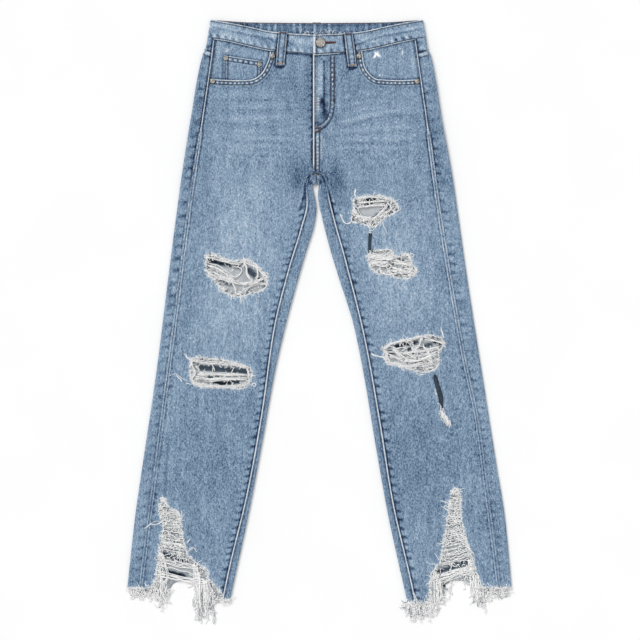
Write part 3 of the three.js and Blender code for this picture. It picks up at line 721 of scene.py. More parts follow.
def front_face(leg, x, y):
    """Top face of one front panel: its level, the fly's lap on the wearer's left, and its relief."""
    lap = fly_rise(x, y) if leg.side > 0 else 0.0
    return front_height(y) + lap + front_relief(leg, x, y)


def painted_loop_shadow(x, y):
    """1 where shadow is painted close round the front belt loops, falling to 0 a few millimetres away."""
    shade = np.zeros(np.shape(x))
    for _, start, foot, lean in FRONT_LOOPS:
        away = line_distance(x, y, [(start, foot + 4), (start + lean, foot + 52)]) - LOOP["width"] / 2
        shade = np.maximum(shade, 1 - rise(away, 1.0, 4.0))
    return shade


def front_top(x, y):
    """Top face of whichever front lies uppermost at a place."""
    x, y = np.broadcast_arrays(np.asarray(x, float), np.asarray(y, float))
    on_left = np.where(y > CROTCH, x > FLY_EDGE, x > CENTRE)
    return np.where(on_left, front_face(LEGS["left"], x, y), front_face(LEGS["right"], x, y))


# ---- Meshes ----


def grid_faces(rows, columns, wrap=False):
    """Four-cornered faces over a grid counted row by row; wrap joins its last column to its first."""
    index = np.arange(rows * columns).reshape(rows, columns)
    if wrap:
        index = np.concatenate([index, index[:, :1]], axis=1)
    corners = [index[:-1, :-1], index[:-1, 1:], index[1:, 1:], index[1:, :-1]]
    return np.stack(corners, -1).reshape(-1, 4)


def steepest(clear, x, y, step):
    """Unit way along which clear(x, y) grows fastest, from its change over a step to either side."""
    slope = np.stack([clear(x + step, y) - clear(x - step, y), clear(x, y + step) - clear(x, y - step)], -1)
    return slope / np.maximum(np.hypot(slope[:, 0], slope[:, 1]), 1e-9)[:, None]


def cut_away(points, faces, clear, reach=2.2):
    """Drops the faces whose middle is inside a hole, then moves the points left inside it, and those that
    line it, on to its edge along the steepest way. clear(x, y) is the distance from the hole's edge,
    negative inside."""
    distance = clear(points[:, 0], points[:, 1])
    kept = distance[faces].mean(axis=1) > 0
    shared = np.zeros((2, len(points)), bool)
    shared[0, faces[kept].ravel()] = True
    shared[1, faces[~kept].ravel()] = True
    lining = shared[0] & shared[1] & (distance < reach)
    move = np.flatnonzero(shared[0] & ((distance < 0) | lining))
    moved = points.copy()
    moved[move, :2] -= steepest(clear, points[move, 0], points[move, 1], 0.4) * distance[move][:, None]
    return moved, faces[kept]


def corners_of(x, y, z):
    """Points in rows of x, y and z from three grids."""
    return np.stack([grid.ravel() for grid in np.broadcast_arrays(x, y, z)], -1)


def tidy(points, faces, *values):
    """Leaves out the points that no face uses."""
    used = np.unique(faces)
    place = np.full(len(points), -1)
    place[used] = np.arange(len(used))
    return [points[used], place[faces], *[v[used] for v in values]]


def make_piece(name, points, faces, materials, replaces=(), values=None, face_slots=None):
    """Puts points (in mm) and faces into a new smooth mesh that rides on the garment. A face whose last two
    corners are the same is a triangle."""
    mesh = bpy.data.meshes.new(name)
    groups = faces if isinstance(faces, list) else [faces]
    corners = [f[:3] if f[2] == f[-1] else f for g in groups for f in g.tolist()]
    mesh.from_pydata((np.asarray(points) * MM).tolist(), [], corners)
    for material in materials:
        mesh.materials.append(material)
    for key, value in (values or {}).items():
        value = np.asarray(value, np.float32).ravel()
        mesh.attributes.new(key, "FLOAT", "POINT").data.foreach_set("value", value)
    mesh.polygons.foreach_set("use_smooth", np.ones(len(mesh.polygons), bool))
    if face_slots is not None:
        mesh.polygons.foreach_set("material_index", np.asarray(face_slots, np.int32))
    mesh.update()
    piece = bpy.data.objects.new(name, mesh)
    bpy.context.scene.collection.objects.link(piece)
    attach(piece, "root")
    if replaces:
        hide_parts(*replaces)
    return piece


def thicken(piece, thickness, inner=1, rim=2):
    """Gives a panel its wall, inwards from its outer face, with its wrong side and raw edge."""
    wall = piece.modifiers.new("Cloth", "SOLIDIFY")
    wall.thickness = thickness
    wall.offset = -1
    wall.use_rim = True
    wall.material_offset = inner
    wall.material_offset_rim = rim
    return piece


def tubes(paths, radii, sides=3):
    """Threads along many paths of shape (threads, points, 3): at each point a ring of corners round the
    path's direction, joined to the next ring, with a face over each end."""
    paths = np.asarray(paths, float)
    threads, steps, _ = paths.shape
    along = np.gradient(paths, axis=1)
    along /= np.maximum(np.linalg.norm(along, axis=2, keepdims=True), 1e-9)
    up = np.broadcast_to([0.0, 0.0, 1.0], along.shape).copy()
    up[np.abs(along[..., 2]) > 0.95] = [0.0, 1.0, 0.0]
    across = np.cross(along, up)
    across /= np.maximum(np.linalg.norm(across, axis=2, keepdims=True), 1e-9)
    over = np.cross(across, along)
    angle = np.pi / 2 - np.pi / sides + 2 * np.pi * np.arange(sides) / sides
    radii = np.broadcast_to(np.asarray(radii, float), (threads, steps))[..., None, None]
    ring = across[:, :, None, :] * np.cos(angle)[:, None] + over[:, :, None, :] * np.sin(angle)[:, None]
    points = paths[:, :, None, :] + radii * ring
    one = grid_faces(steps, sides, wrap=True)
    first, last = ([2, 2, 1, 0], [0, 0, 1, 2]) if sides == 3 else ([3, 2, 1, 0], [0, 1, 2, 3])
    single = np.concatenate([one, [first], [np.array(last) + (steps - 1) * sides]])
    shift = (np.arange(threads) * steps * sides)[:, None, None]
    faces = (single[None] + shift).reshape(-1, 4)
    return points.reshape(-1, 3), faces[:, ::-1]


def merge(parts):
    """Joins several (points, faces) into one."""
    points, faces, count = [], [], 0
    for p, f in parts:
        points.append(p)
        faces.append(f + count)
        count += len(p)
    return np.concatenate(points), np.concatenate(faces)


def raised(flat, z):
    """Flat points given their heights."""
    return np.concatenate([flat, z[..., None]], axis=-1)


# ---- Materials ----


PREFIX = "jeans_"


def once(name, shade, *settings):
    """The material of this name. When it is first asked for, shade(tree, surface, *settings) paints it,
    where surface is its Principled shader."""
    material = bpy.data.materials.get(PREFIX + name)
    if not material:
        material = bpy.data.materials.new(PREFIX + name)
        material.use_nodes = True
        tree = material.node_tree
        shade(tree, tree.nodes["Principled BSDF"], *settings)
    return material


def fill(tree, made, values):
    """Links each named input of a node to a socket, or sets it to a constant."""
    for key, value in values.items():
        if isinstance(value, bpy.types.NodeSocket):
            tree.links.new(value, made.inputs[key])
        else:
            made.inputs[key].default_value = value


def node(tree, kind, values, **settings):
    """Adds a shader node, sets its properties and fills its inputs."""
    made = tree.nodes.new("ShaderNode" + kind)
    for key, value in settings.items():
        setattr(made, key, value)
    fill(tree, made, values)
    return made


def maths(tree, operation, first, second):
    return node(tree, "Math", {0: first, 1: second}, operation=operation).outputs[0]


def stretched(tree, along):
    """Object coordinates, with y multiplied by along."""
    place = node(tree, "TexCoord", {}).outputs["Object"]
    return node(tree, "Mapping", {"Vector": place, "Scale": (1.0, along, 1.0)}).outputs[0]


def speckle(tree, scale, detail, along=1.0, roughness=0.5):
    """Noise from 0 to 1 whose patches are 1 / scale metres across, and drawn out along y by 1 / along."""
    values = {"Vector": stretched(tree, along), "Scale": scale, "Detail": detail, "Roughness": roughness}
    return node(tree, "TexNoise", values).outputs[0]


def twill(tree):
    """Diagonal ridges of the weave, a sine across (x + y + z) with a pitch of 1.1 mm."""
    values = {"Vector": stretched(tree, 0.62), "Scale": 2 * np.pi / (10 * 0.0011), "Distortion": 0.6,
              "Detail Scale": 40.0}
    return node(tree, "TexWave", values, bands_direction="DIAGONAL").outputs[1]


def shade_and_wear_value(tree, name):
    """A value on the mesh: its tone (worn cloth and painted shade), bareness or inside light (painted shade).
    """
    return node(tree, "Attribute", {}, attribute_name=name).outputs["Fac"]


def varied(tree, amount, changes):
    """An amount plus, for each (source, strength), strength times the source's distance from 0.5."""
    for source, strength in changes:
        centred = maths(tree, "SUBTRACT", source, 0.5)
        amount = maths(tree, "ADD", amount, maths(tree, "MULTIPLY", centred, strength))
    return amount


def colour_scale(tree, amount, stops):
    """A ramp through (place, colour) stops."""
    ramp = node(tree, "ValToRGB", {0: amount})
    elements = ramp.color_ramp.elements
    for element, (place, colour) in ((elements[0], stops[0]), (elements[1], stops[-1])):
        element.position = place
        element.color = (*colour, 1.0)
    for place, colour in stops[1:-1]:
        elements.new(place).color = (*colour, 1.0)
    return ramp.outputs[0]


def bumps(tree, height, distance, strength):
    """The surface's direction, tilted by the slope of height."""
    return node(tree, "Bump", {"Height": height, "Distance": distance, "Strength": strength}).outputs[0]


def shade_denim(tree, surface):
    """The mesh's tone, made uneven by a mottle and upright slubs under 2 mm across, fainter streaks and
    clouds and the twill, picks a blue, and bare patches show white weft."""
    paints = colours()
    grain = sizes().grain
    mottle = speckle(tree, 545.0, 2.0, 1.0, 0.75)
    slub = speckle(tree, 600.0, 1.0, 0.36)
    streak = speckle(tree, 210.0, 1.0, 0.05)
    cloud = speckle(tree, 55.0, 2.0, 0.55, 0.6)
    weave = twill(tree)
    tone = varied(tree, shade_and_wear_value(tree, "tone"), [
        (mottle, 0.86 * grain), (slub, 0.62 * grain), (streak, 0.16 * grain), (weave, 0.12 * grain),
        (cloud, 0.20 * grain)])
    blue = colour_scale(tree, tone, [(0.10, paints.ink), (0.22, paints.deep), (0.40, paints.shaded),
                                     (0.60, paints.mid), (0.78, paints.pale), (1.00, paints.bare)])
    patchy = maths(tree, "MULTIPLY", shade_and_wear_value(tree, "bare"), maths(tree, "ADD", mottle, 0.65))
    white = node(tree, "Mix", {0: patchy, 6: blue, 7: (*paints.yarn, 1.0)}, data_type="RGBA",
                 clamp_factor=True).outputs[2]
    rough = node(tree, "MapRange", {0: mottle, 1: 0.3, 2: 0.7, 3: 0.86, 4: 0.98}).outputs[0]
    height = maths(tree, "ADD", maths(tree, "MULTIPLY", weave, 0.35), maths(tree, "MULTIPLY", slub, 0.9))
    fill(tree, surface, {
        "Base Color": white, "Roughness": rough, "Normal": bumps(tree, height, 0.0005, 0.55),
        "Sheen Weight": 0.12, "Sheen Roughness": 0.5, "Specular IOR Level": 0.2})


def shade_inside(tree, surface):
    """Wrong side of the denim: pale weft with a fine twill, with painted shade where the mesh's light says it
    is deep inside.
    """
    paints = colours()
    weave = twill(tree)
    mottle = speckle(tree, 420.0, 2.0, 1.0, 0.6)
    light = varied(tree, shade_and_wear_value(tree, "light"), [(mottle, 0.22), (weave, 0.08)])
    shown = colour_scale(tree, light, [(0.08, paints.gloom), (0.30, paints.hollow), (0.88, paints.inside)])
    fill(tree, surface, {"Base Color": shown, "Normal": bumps(tree, weave, 0.0003, 0.5), "Roughness": 0.95,
                         "Specular IOR Level": 0.15})


def shade_thread(tree, surface, colour, spread, roughness):
    """Spun thread: its colour lightened and darkened in specks a millimetre long, with a fine twist bump."""
    fibre = speckle(tree, 900.0, 2.0, 1.0, 0.6)
    patch = speckle(tree, 90.0, 1.0)
    amount = maths(tree, "ADD", maths(tree, "MULTIPLY", fibre, 0.6), maths(tree, "MULTIPLY", patch, 0.4))
    dark = [v * (1 - spread) for v in colour]
    light = [min(1.0, v * (1 + 0.6 * spread)) for v in colour]
    fill(tree, surface, {
        "Base Color": colour_scale(tree, amount, [(0.3, dark), (0.7, light)]), "Roughness": roughness,
        "Normal": bumps(tree, fibre, 0.0002, 0.4), "Sheen Weight": 0.2, "Specular IOR Level": 0.25})


def shade_metal(tree, surface, colour, roughness):
    """Worn metal: scratches and dull patches change its colour a little and its roughness a lot."""
    dull = speckle(tree, 420.0, 3.0, 1.0, 0.6)
    scratch = speckle(tree, 1500.0, 2.0, 0.12, 0.6)
    dark = [v * 0.30 for v in colour]
    rough = node(tree, "MapRange", {0: dull, 1: 0.3, 2: 0.7, 3: roughness + 0.2, 4: roughness}).outputs[0]
    fill(tree, surface, {
        "Base Color": colour_scale(tree, dull, [(0.36, dark), (0.56, colour)]), "Roughness": rough,
        "Normal": bumps(tree, scratch, 0.0001, 0.5), "Metallic": 0.75})


def shade_floor(tree, surface):
    """Matt pale paint with a faint slow unevenness."""
    shown = colour_scale(tree, speckle(tree, 6.0, 2.0), [(0.3, (0.955,) * 3), (0.7, (0.975,) * 3)])
    fill(tree, surface, {"Base Color": shown, "Roughness": 1.0, "Specular IOR Level": 0.0})


def thread(name, paint_name, spread=0.35, roughness=0.85):
    """The thread material of this name, in one of the named colours."""
    return once(name, shade_thread, getattr(colours(), paint_name), spread, roughness)


def metal(name, paint_name, roughness):
    """The metal material of this name, in one of the named colours."""
    return once(name, shade_metal, getattr(colours(), paint_name), roughness)


def denim_set():
    """Right side, wrong side and raw edge of a denim panel."""
    return [once("denim", shade_denim), once("denim_inside", shade_inside), thread("raw_edge", "yarn", 0.3)]


def denim_piece(name, points, faces, tone, bare, light, replaces=(), wall=0.0):
    """A piece of denim with its tone, bareness and light, worn cloth and painted shade, at each point. One
    with a wall has its wrong side and raw edge too.
    """
    materials = denim_set() if wall else denim_set()[:1]
    wear_and_shade = {"tone": tone, "bare": bare, "light": light}
    piece = make_piece(name, points, faces, materials, replaces, wear_and_shade)
    return thicken(piece, wall) if wall else piece


def thread_piece(name, rows, material):
    """Joins rows of sewing thread into one piece."""
    points, faces = merge(rows)
    make_piece(name, points, faces, [material])


# ---- Back panels and yokes ----

STRIP, ROUND, FLAT, INNER_STRIP = 16, 12, 42, 9


def back_section(leg, y):
    """One side of the back at each height: out along the strip on the front face, round the outer fold as
    half an ellipse, across the table, round the inner fold and along the inner strip to the inseam.
    Returns x and z as (rows, columns)."""
    low, high = back_height(y), front_height(y)
    inward = -leg.side
    turn = np.pi * (0.5 - np.arange(ROUND + 1) / ROUND)
    middle, half = (low + high + FOLD_RISE) / 2, (high + FOLD_RISE - low) / 2
    ring_z = middle[:, None] + half[:, None] * np.sin(turn)
    reach = FOLD_REACH * (1 - np.cos(turn))
    outer_x = leg.fold(y)[:, None] + inward * reach
    inner_x = (leg.inner(y)[:, None] - inward * reach)[:, ::-1]
    s = np.linspace(0, 1, STRIP + 1)[:-1]
    seam_x = leg.outseam(y) - inward * GAP / 2
    strip_x = seam_x[:, None] * (1 - s) + outer_x[:, :1] * s
    strip_z = high[:, None] + FOLD_RISE * s
    t = np.linspace(0, 1, FLAT + 1)[1:-1]
    flat_x = outer_x[:, -1:] * (1 - t) + inner_x[:, :1] * t
    flat_z = np.repeat(low[:, None], len(t), axis=1)
    w = np.linspace(0, 1, INNER_STRIP + 1)[1:]
    end_x = leg.inseam(y) + inward * GAP / 2
    inner_strip_x = inner_x[:, -1:] * (1 - w) + end_x[:, None] * w
    inner_strip_z = (high + FOLD_RISE)[:, None] - FOLD_RISE * w
    x = np.concatenate([strip_x, outer_x, flat_x, inner_x, inner_strip_x], axis=1)
    z = np.concatenate([strip_z, ring_z, flat_z, ring_z[:, ::-1], inner_strip_z], axis=1)
    return x, z


def back_rows(leg, top_line, bottom_line, rows, blend_low, blend_high):
    """Rows of the back grid whose ends follow the two lines: each row's height is moved by the lines'
    difference from their own middle, less and less away from them."""
    level = np.linspace(0, 1, rows)
    bottom, top = bottom_line(np.array([0.0]))[0], top_line(np.array([0.0]))[0]
    y0 = bottom + (top - bottom) * level
    x, z = back_section(leg, y0)
    y = np.repeat(y0[:, None], x.shape[1], axis=1)
    lift_top = (top_line(x) - top) * rise(y, *blend_high)
    lift_bottom = (bottom_line(x) - bottom) * fall(y, *blend_low)
    y = y + lift_top + lift_bottom
    x, z = refit(leg, y)
    return x, y, z


def slot_light(x, y):
    """How light the inside of a leg looks: pale in the open, shaded near the edges of the tear above it and
    dark along each slot between the strands and under the two clean slits."""
    light = 0.78 + 0.14 * noise(x / 14, y / 9, 61)
    depth = np.maximum(-LEGS["right"].tear_clearance(x, y), -LEGS["left"].tear_clearance(x, y))
    light = light - 0.24 * fall(depth, 1.0, 8.0)
    light = np.where(y < -275, 0.68 + 0.14 * noise(x / 9, y / 7, 65), light)
    for start, end, width in SLOTS:
        near = line_distance(x, y, [start, end])
        least = 0.06 if width < 2.7 else 0.20
        light = np.minimum(light, least + 0.7 * rise(near, width * 0.75, width * 1.8))
    for line, half in SLITS:
        apart = line_distance(x, y, line)
        middle = np.interp(y, [line[-1][1], line[0][1]], [line[-1][0], line[0][0]])
        shade = 0.17 + 0.10 * fall(x - middle, -3, 3)
        light = np.where(apart < half + 2, shade, light)
    return light


def back_look(leg, x, y, kinds):
    """Relief of the strips, rise of the underside, tone and bareness of the back at each point."""
    strip, inner, under = kinds["strip"], kinds["inner"], kinds["under"]
    relief = np.where(strip, sizes().pucker / MM * seam_roping(leg, x, y), 0.0)
    hollow = np.maximum(crease_sum(x, y, BACK_CREASES, 0), 0) + 0.25 * (1 + noise(x / 60, y / 80, 44))
    back_tone = 0.57 + 1.8 * crease_sum(x, y, BACK_CREASES, 1) + 0.04 * noise(x / 40, y / 60, 54)
    across = np.abs(x - CENTRE) - 118
    back_tone += 0.05 * np.exp(-((across / 45) ** 2)) * fall(y, 180, 320)
    knee = np.exp(-(((y + 45) / 45) ** 2) - (across / 60) ** 2)
    back_tone += 0.06 * np.sin(0.24 * y + 0.03 * across) * knee
    back_tone += 0.09 * np.exp(-(((np.abs(x - CENTRE) - 100) / 60) ** 2) - ((y - 320) / 80) ** 2)
    tone = np.where(under, back_tone, front_tone(leg, x, y))
    patches = 0.07 * noise(x / 6, y / 9, 59) * rise(y, -60, 60) - 0.05 * bump(y - 330, 90)
    from_yoke = y - yoke_seam(x)
    worn_rim = 0.10 * bump(from_yoke - 3, 3.0)
    yoke_rows = worn_rim - 0.22 * bump(from_yoke + 1.8, 1.2) - 0.22 * bump(from_yoke - 7.8, 1.2)
    across_seat = yoke_rows * (under & (np.abs(x) < 250))
    tone = tone + np.where(strip, 2.4 * yoke_rows + worn_rim + patches, across_seat)
    # On the inner strip: painted shadow along the top of the gap at the crotch, and a little darker towards
    # the crotch.
    notch = line_distance(x, y, [(-20.5, 242), (-12.5, 232.5), (-1, 232.5), (2, 238)])
    tone = np.where(inner, tone - 0.02 - 0.34 * bump(notch, 2.2) - 0.04 * rise(y, 170, 225), tone)
    hem = clearance(x, y, leg.back_hem)
    bare = 0.95 * fall(hem + 1.5 * noise(x / 2.5, y / 2.5, 72), 0.3, 4.0)
    return relief, hollow, tone, bare


def column_kinds(shape):
    """Which points of the back grid are on the outer strip, on the inner one and on the underside."""
    rows, columns = shape
    index = np.arange(columns)
    strip = index < STRIP + 1
    inner = index >= columns - INNER_STRIP - 1
    under = (index >= STRIP + ROUND - 2) & (index < columns - INNER_STRIP - ROUND + 2)
    return {name: np.repeat(mask[None], rows, axis=0).ravel()
            for name, mask in (("strip", strip), ("inner", inner), ("under", under))}


def back_piece(name, leg, x, y, z, node_name, hem):
    """Builds a back panel or a yoke from its grid, with the part above the crotch open at the centre."""
    kinds = column_kinds(x.shape)
    rows, columns = x.shape
    faces = grid_faces(rows, columns)
    points = corners_of(x, y, z)
    face_column = np.tile(np.arange(columns - 1), rows - 1)
    face_top = points[faces, 1].max(axis=1)
    closing = columns - INNER_STRIP - ROUND // 2 - 2
    faces = faces[(face_column < closing) | (face_top < CROTCH)]
    if hem:
        points, faces = cut_away(points, faces, lambda px, py: clearance(px, py, leg.back_hem))
    relief, hollow, tone, bare = back_look(leg, points[:, 0], points[:, 1], kinds)
    points[:, 2] += np.where(kinds["under"], hollow * (points[:, 2] < 2.0), relief)
    # Painted shade beside the outseam on the strip, and beside the inseam on the inner strip.
    seam = np.abs(leg.from_outseam(points[:, 0], points[:, 1]))
    tone = tone - 0.04 * bump(seam - 2.4, 1.3) * kinds["strip"]
    crossing = np.abs(leg.from_inseam(points[:, 0], points[:, 1]))
    tone = tone - 0.20 * bump(crossing - 2.8, 1.4) * kinds["inner"] * fall(points[:, 1], 200, 225)
    light = slot_light(points[:, 0], points[:, 1])
    if leg.side < 0:
        faces = faces[:, ::-1]
    points, faces, tone, bare, light = tidy(points, faces, tone, bare, light)
    return denim_piece(name, points, faces, tone, bare, light, [node_name], sizes().cloth)


def build_back(leg):
    """A back panel: the back's section carried up from the hem to the yoke's seam."""
    top = lambda x: yoke_seam(x) - GAP / 2
    bottom = lambda x: np.full(np.shape(x), HEM_START)
    x, y, z = back_rows(leg, top, bottom, 298, (-600, -599), (300, 395))
    piece = back_piece("back_panel_" + leg.name, leg, x, y, z, "back_" + leg.name, True)


def build_yoke(leg):
    """The yoke runs from its seam up to the foot of the band, whose front and back feet differ."""
    rows = 34
    level = np.linspace(0, 1, rows)
    y0 = 404 + (476 - 404) * level
    x, z = back_section(leg, y0)
    columns = x.shape[1]
    index = np.arange(columns)
    on_front = np.clip(1 - (index - STRIP) / ROUND, 0, 1)
    foot = band_edge("back_foot", x) * (1 - on_front) + band_edge("front_foot", x) * on_front
    low = yoke_seam(x) + GAP / 2
    y = low + (foot + 1.5 - low) * level[:, None]
    x, z = refit(leg, y)
    piece = back_piece("back_yoke_" + leg.name, leg, x, y, z, "yoke_" + leg.name, False)


def refit(leg, y):
    """x and z of the back grid where each point has its own height: each column is a section taken at that
    column's heights."""
    columns = y.shape[1]
    x, z = np.zeros(y.shape), np.zeros(y.shape)
    for column in range(columns):
        section_x, section_z = back_section(leg, y[:, column])
        x[:, column], z[:, column] = section_x[:, column], section_z[:, column]
    return x, z


# ---- Front panels ----

FRONT_COLUMNS, FRONT_ROWS = 94, 426


def front_grid(leg):
    """The front as a function of two shares: u across from the inner edge to the outseam, closer together
    at both seams as u - k·sin(2πu)/2π, and v up from the hem to the foot of the band."""
    u = np.linspace(0, 1, FRONT_COLUMNS + 1)
    u = u - 0.4 * np.sin(2 * np.pi * u) / (2 * np.pi)
    level = np.linspace(HEM_START, 466, FRONT_ROWS)
    y = np.repeat(level[:, None], len(u), axis=1)

    def across(height):
        inner = leg.front_inner(height)
        outer = leg.outseam(height) - leg.side * GAP / 2
        return inner * (1 - u) + outer * u

    foot = band_edge("front_foot", across(y)) + 1.5
    y = y + (foot - 466) * rise(y, 330, 466)
    return across(y), y


def fly_tone(x, y):
    """Marks of the fly on the wearer's left front: worn edge, light stripe, deep patches and dark rows."""
    tone = 0.14 * bump(x - FLY_EDGE - 1.4, 1.4) * rise(y, 262, 280)
    tone -= 0.36 * bump(x + 7.7, 1.1) * rise(y, 256, 270) * fall(y, 446, 452)
    stripe = rise(x, -6.6, -5.4) * fall(x, 4.6, 6.0) * rise(y, 383, 388) * fall(y, 440, 446)
    tone += 0.13 * stripe + 0.06 * bump(x + 5.4, 1.0) * stripe
    outer = line_distance(x, y, rounded(FLY_ROWS["outer"], 4))
    inner = line_distance(x, y, rounded(FLY_ROWS["inner"], 4))
    between = bump(outer - 3.0, 1.5) * bump(inner - 3.0, 1.5)
    tone -= 0.42 * bump(outer, 1.5) + 0.34 * bump(inner, 1.3)
    tone += 0.42 * between * (0.30 + np.sin(0.80 * y + 0.5 * x))
    for name in ("low_right", "low_left"):
        tone -= 0.34 * bump(line_distance(x, y, FLY_ROWS[name]), 1.2)
    tone -= 0.34 * bump(x - 7.7, 1.5) * rise(y, 352, 362) * fall(y, 440, 448)
    tone -= 0.26 * bump(x - 4.5, 6.0) * bump(y - 373, 7) + 0.30 * bump(x - 8.5, 4.6) * bump(y - 354, 8)
    tone -= 0.20 * bump(x - 3.0, 4.0) * bump(y - 376, 5) + 0.28 * bump(x + 3.5, 5.0) * bump(y - 337, 3.5)
    tone -= 0.10 * bump(x - 12, 4.5) * rise(y, 345, 360) * (0.5 + 0.5 * noise(x / 5, y / 8, 66))
    tone += 0.10 * bump(x + 1.0, 5.0) * bump(y - 352, 9) * (0.5 + noise(x / 5, y / 7, 67))
    return tone + 0.07 * noise(x / 4, y / 9, 63) * fall(x, 26, 32)


def ladder_marks(x, y):
    """Short white bars across the fly where its stitches have worn through, every 3.4 mm."""
    bars = bump((y % 3.4) - 1.7, 0.9)
    upper = bump(x + 3.0, 2.4) * rise(y, 358, 362) * fall(y, 380, 384)
    lower = bump(x + 3.3, 1.5) * rise(y, 256, 260) * fall(y, 316, 320)
    beads = bump(x - 3.4, 1.3) * rise(y, 268, 284) * fall(y, 312, 320) * bump((y % 4.6) - 2.3, 1.4)
    return 0.75 * bars * upper + 0.6 * bars * lower + 0.45 * beads


def build_front(leg):
    """A front panel: a grid on the front's level, cut away inside the rips, the torn hem and the pocket
    mouth, and raised by its relief and by the curl of each torn edge."""
    x, y = front_grid(leg)
    faces = grid_faces(*x.shape)
    points = corners_of(x, y, 0.0)
    mouth = leg.mouth_ring()
    points, faces = cut_away(points, faces, lambda px, py: np.minimum(
        leg.tear_clearance(px, py), clearance(px, py, mouth)))
    x, y = points[:, 0], points[:, 1]
    tear = leg.tear_clearance(x, y)
    lip = clearance(x, y, mouth)
    free = slit_free(x, y)
    curl = 0.55 * bump(tear - 1.0, 2.2) * (1 + noise(x / 5, y / 5, 73)) * free
    under_hem = -0.35 * fall(lip, 8.0, 9.5) * (y > 380)
    points[:, 2] = front_face(leg, x, y) + curl + under_hem
    tone = front_tone(leg, x, y)
    tone = tone + 0.05 * bump(tear - 4.0, 3.5) * free
    tone -= 0.07 * bump(lip - 12.5, 2.2) * (y > 380) * (1 + 0.8 * np.sin(0.55 * (x + y)))
    # Painted shade beside the inseam ridge.
    inner = leg.from_inseam(x, y)
    below = 1 - rise(y, CROTCH - 8, CROTCH)
    tone -= 0.34 * bump(inner - 2.6, 1.5) * below * (1 - 0.7 * rise(y, 200, 225))
    if leg.side > 0:
        tone += fly_tone(x, y)
    else:
        # Painted shadow beside the overlapping fly's edge, and a wider soft one.
        tone -= 0.48 * bump(x - FLY_EDGE + 1.2, 1.9) * rise(y, 255, 275)
        dimples = roping(FLY_EDGE - x, y, 12.0, 19, 5.0, 4.0) * rise(y, 270, 300)
        tone += 0.8 * rope_tone(dimples) - 0.05 * bump(x + 20, 9) * rise(y, 290, 330)
    # Painted shadow under the foot of the band.
    foot = band_edge("front_foot", x) - y
    tone -= 0.32 * fall(foot, 0.8, 3.6)
    bare = 0.95 * fall(tear + 1.6 * noise(x / 2.2, y / 2.2, 74), -0.2, 2.4) * free
    if leg.side > 0:
        bare = np.maximum(bare, ladder_marks(x, y))
        bare = np.maximum(bare, 0.72 * bump(x - FLY_EDGE - 0.9, 1.0) * rise(y, 256, 272))
    light = 0.55 + 0.2 * noise(x / 20, y / 20, 62)
    if leg.side < 0:
        faces = faces[:, ::-1]
    points, faces, tone, bare, light = tidy(points, faces, tone, bare, light)
    replaced = ["front_" + leg.name]
    denim_piece("front_panel_" + leg.name, points, faces, tone, bare, light, replaced, sizes().cloth)


def build_mouth_hem(leg):
    """The double hem of a pocket mouth: s runs along the mouth and d across the hem from its folded edge.
    Its edge rolls down into the pocket and two grooves hold its rows of stitches, with beads between."""
    line = leg.mouth[leg.mouth[:, 1] < band_edge("front_foot", leg.mouth[:, 0]) + 1.0]
    line = line[np.abs(line[:, 0]) < np.abs(leg.outseam(412)) - 1.2]
    path, heading = resample(line, 1.4)
    away = leftward(heading)
    if clearance(*(path + away)[len(path) // 2], leg.mouth_ring()) < 0:
        away = -away
    d = np.concatenate([[-0.3, 0.0], np.linspace(0.6, 10.6, 17)])
    x = path[:, :1] + away[:, :1] * d
    y = path[:, 1:2] + away[:, 1:2] * d
    s = np.arange(len(path))[:, None] * 1.4
    level = front_face(leg, x, y)
    beads = np.sin(2 * np.pi * s / 7.2 + 2.2 * noise(s / 22, 0 * s, 82))
    roll = -1.3 * fall(d, -0.3, 0.9) + 0.55 * fall(d, 8.6, 10.6)
    puff = 0.22 * beads * bump(d - 5.4, 1.9) - 0.35 * bump(d - 3.0, 0.8) - 0.35 * bump(d - 8.0, 0.8)
    z = level + roll + puff
    tone = 0.59 + 0.13 * bump(d - 1.0, 1.0) - 0.32 * bump(d - 3.0, 1.1) + 0.24 * beads * bump(d - 5.4, 1.6)
    tone = tone - 0.30 * bump(d - 8.0, 1.1) + 0.08 * bump(d - 10.0, 0.9) + 0.04 * noise(x / 4, y / 4, 84)
    bare = 0.55 * bump(d - 0.9, 0.9) * (0.8 + 0.4 * noise(s / 6, 0 * d, 83))
    bare = bare + 0.45 * np.maximum(beads - 0.3, 0) * bump(d - 5.2, 1.3)
    # Painted shadow round the belt loops, under the band's foot and round the rivets.
    shade = 0.3 * painted_loop_shadow(x, y) + 0.2 * fall(band_edge("front_foot", x) - y, 0.5, 3.5)
    shade = shade + 0.3 * painted_rivet_shadow(x, y)
    faces = grid_faces(*x.shape)
    flip = heading[0, 0] * away[0, 1] - heading[0, 1] * away[0, 0] < 0
    faces = faces if flip else faces[:, ::-1]
    denim_piece("pocket_hem_" + leg.name, corners_of(x, y, z), faces, tone - shade, bare, tone - shade)


# ---- Seams: the raised ridge where front and back meet ----


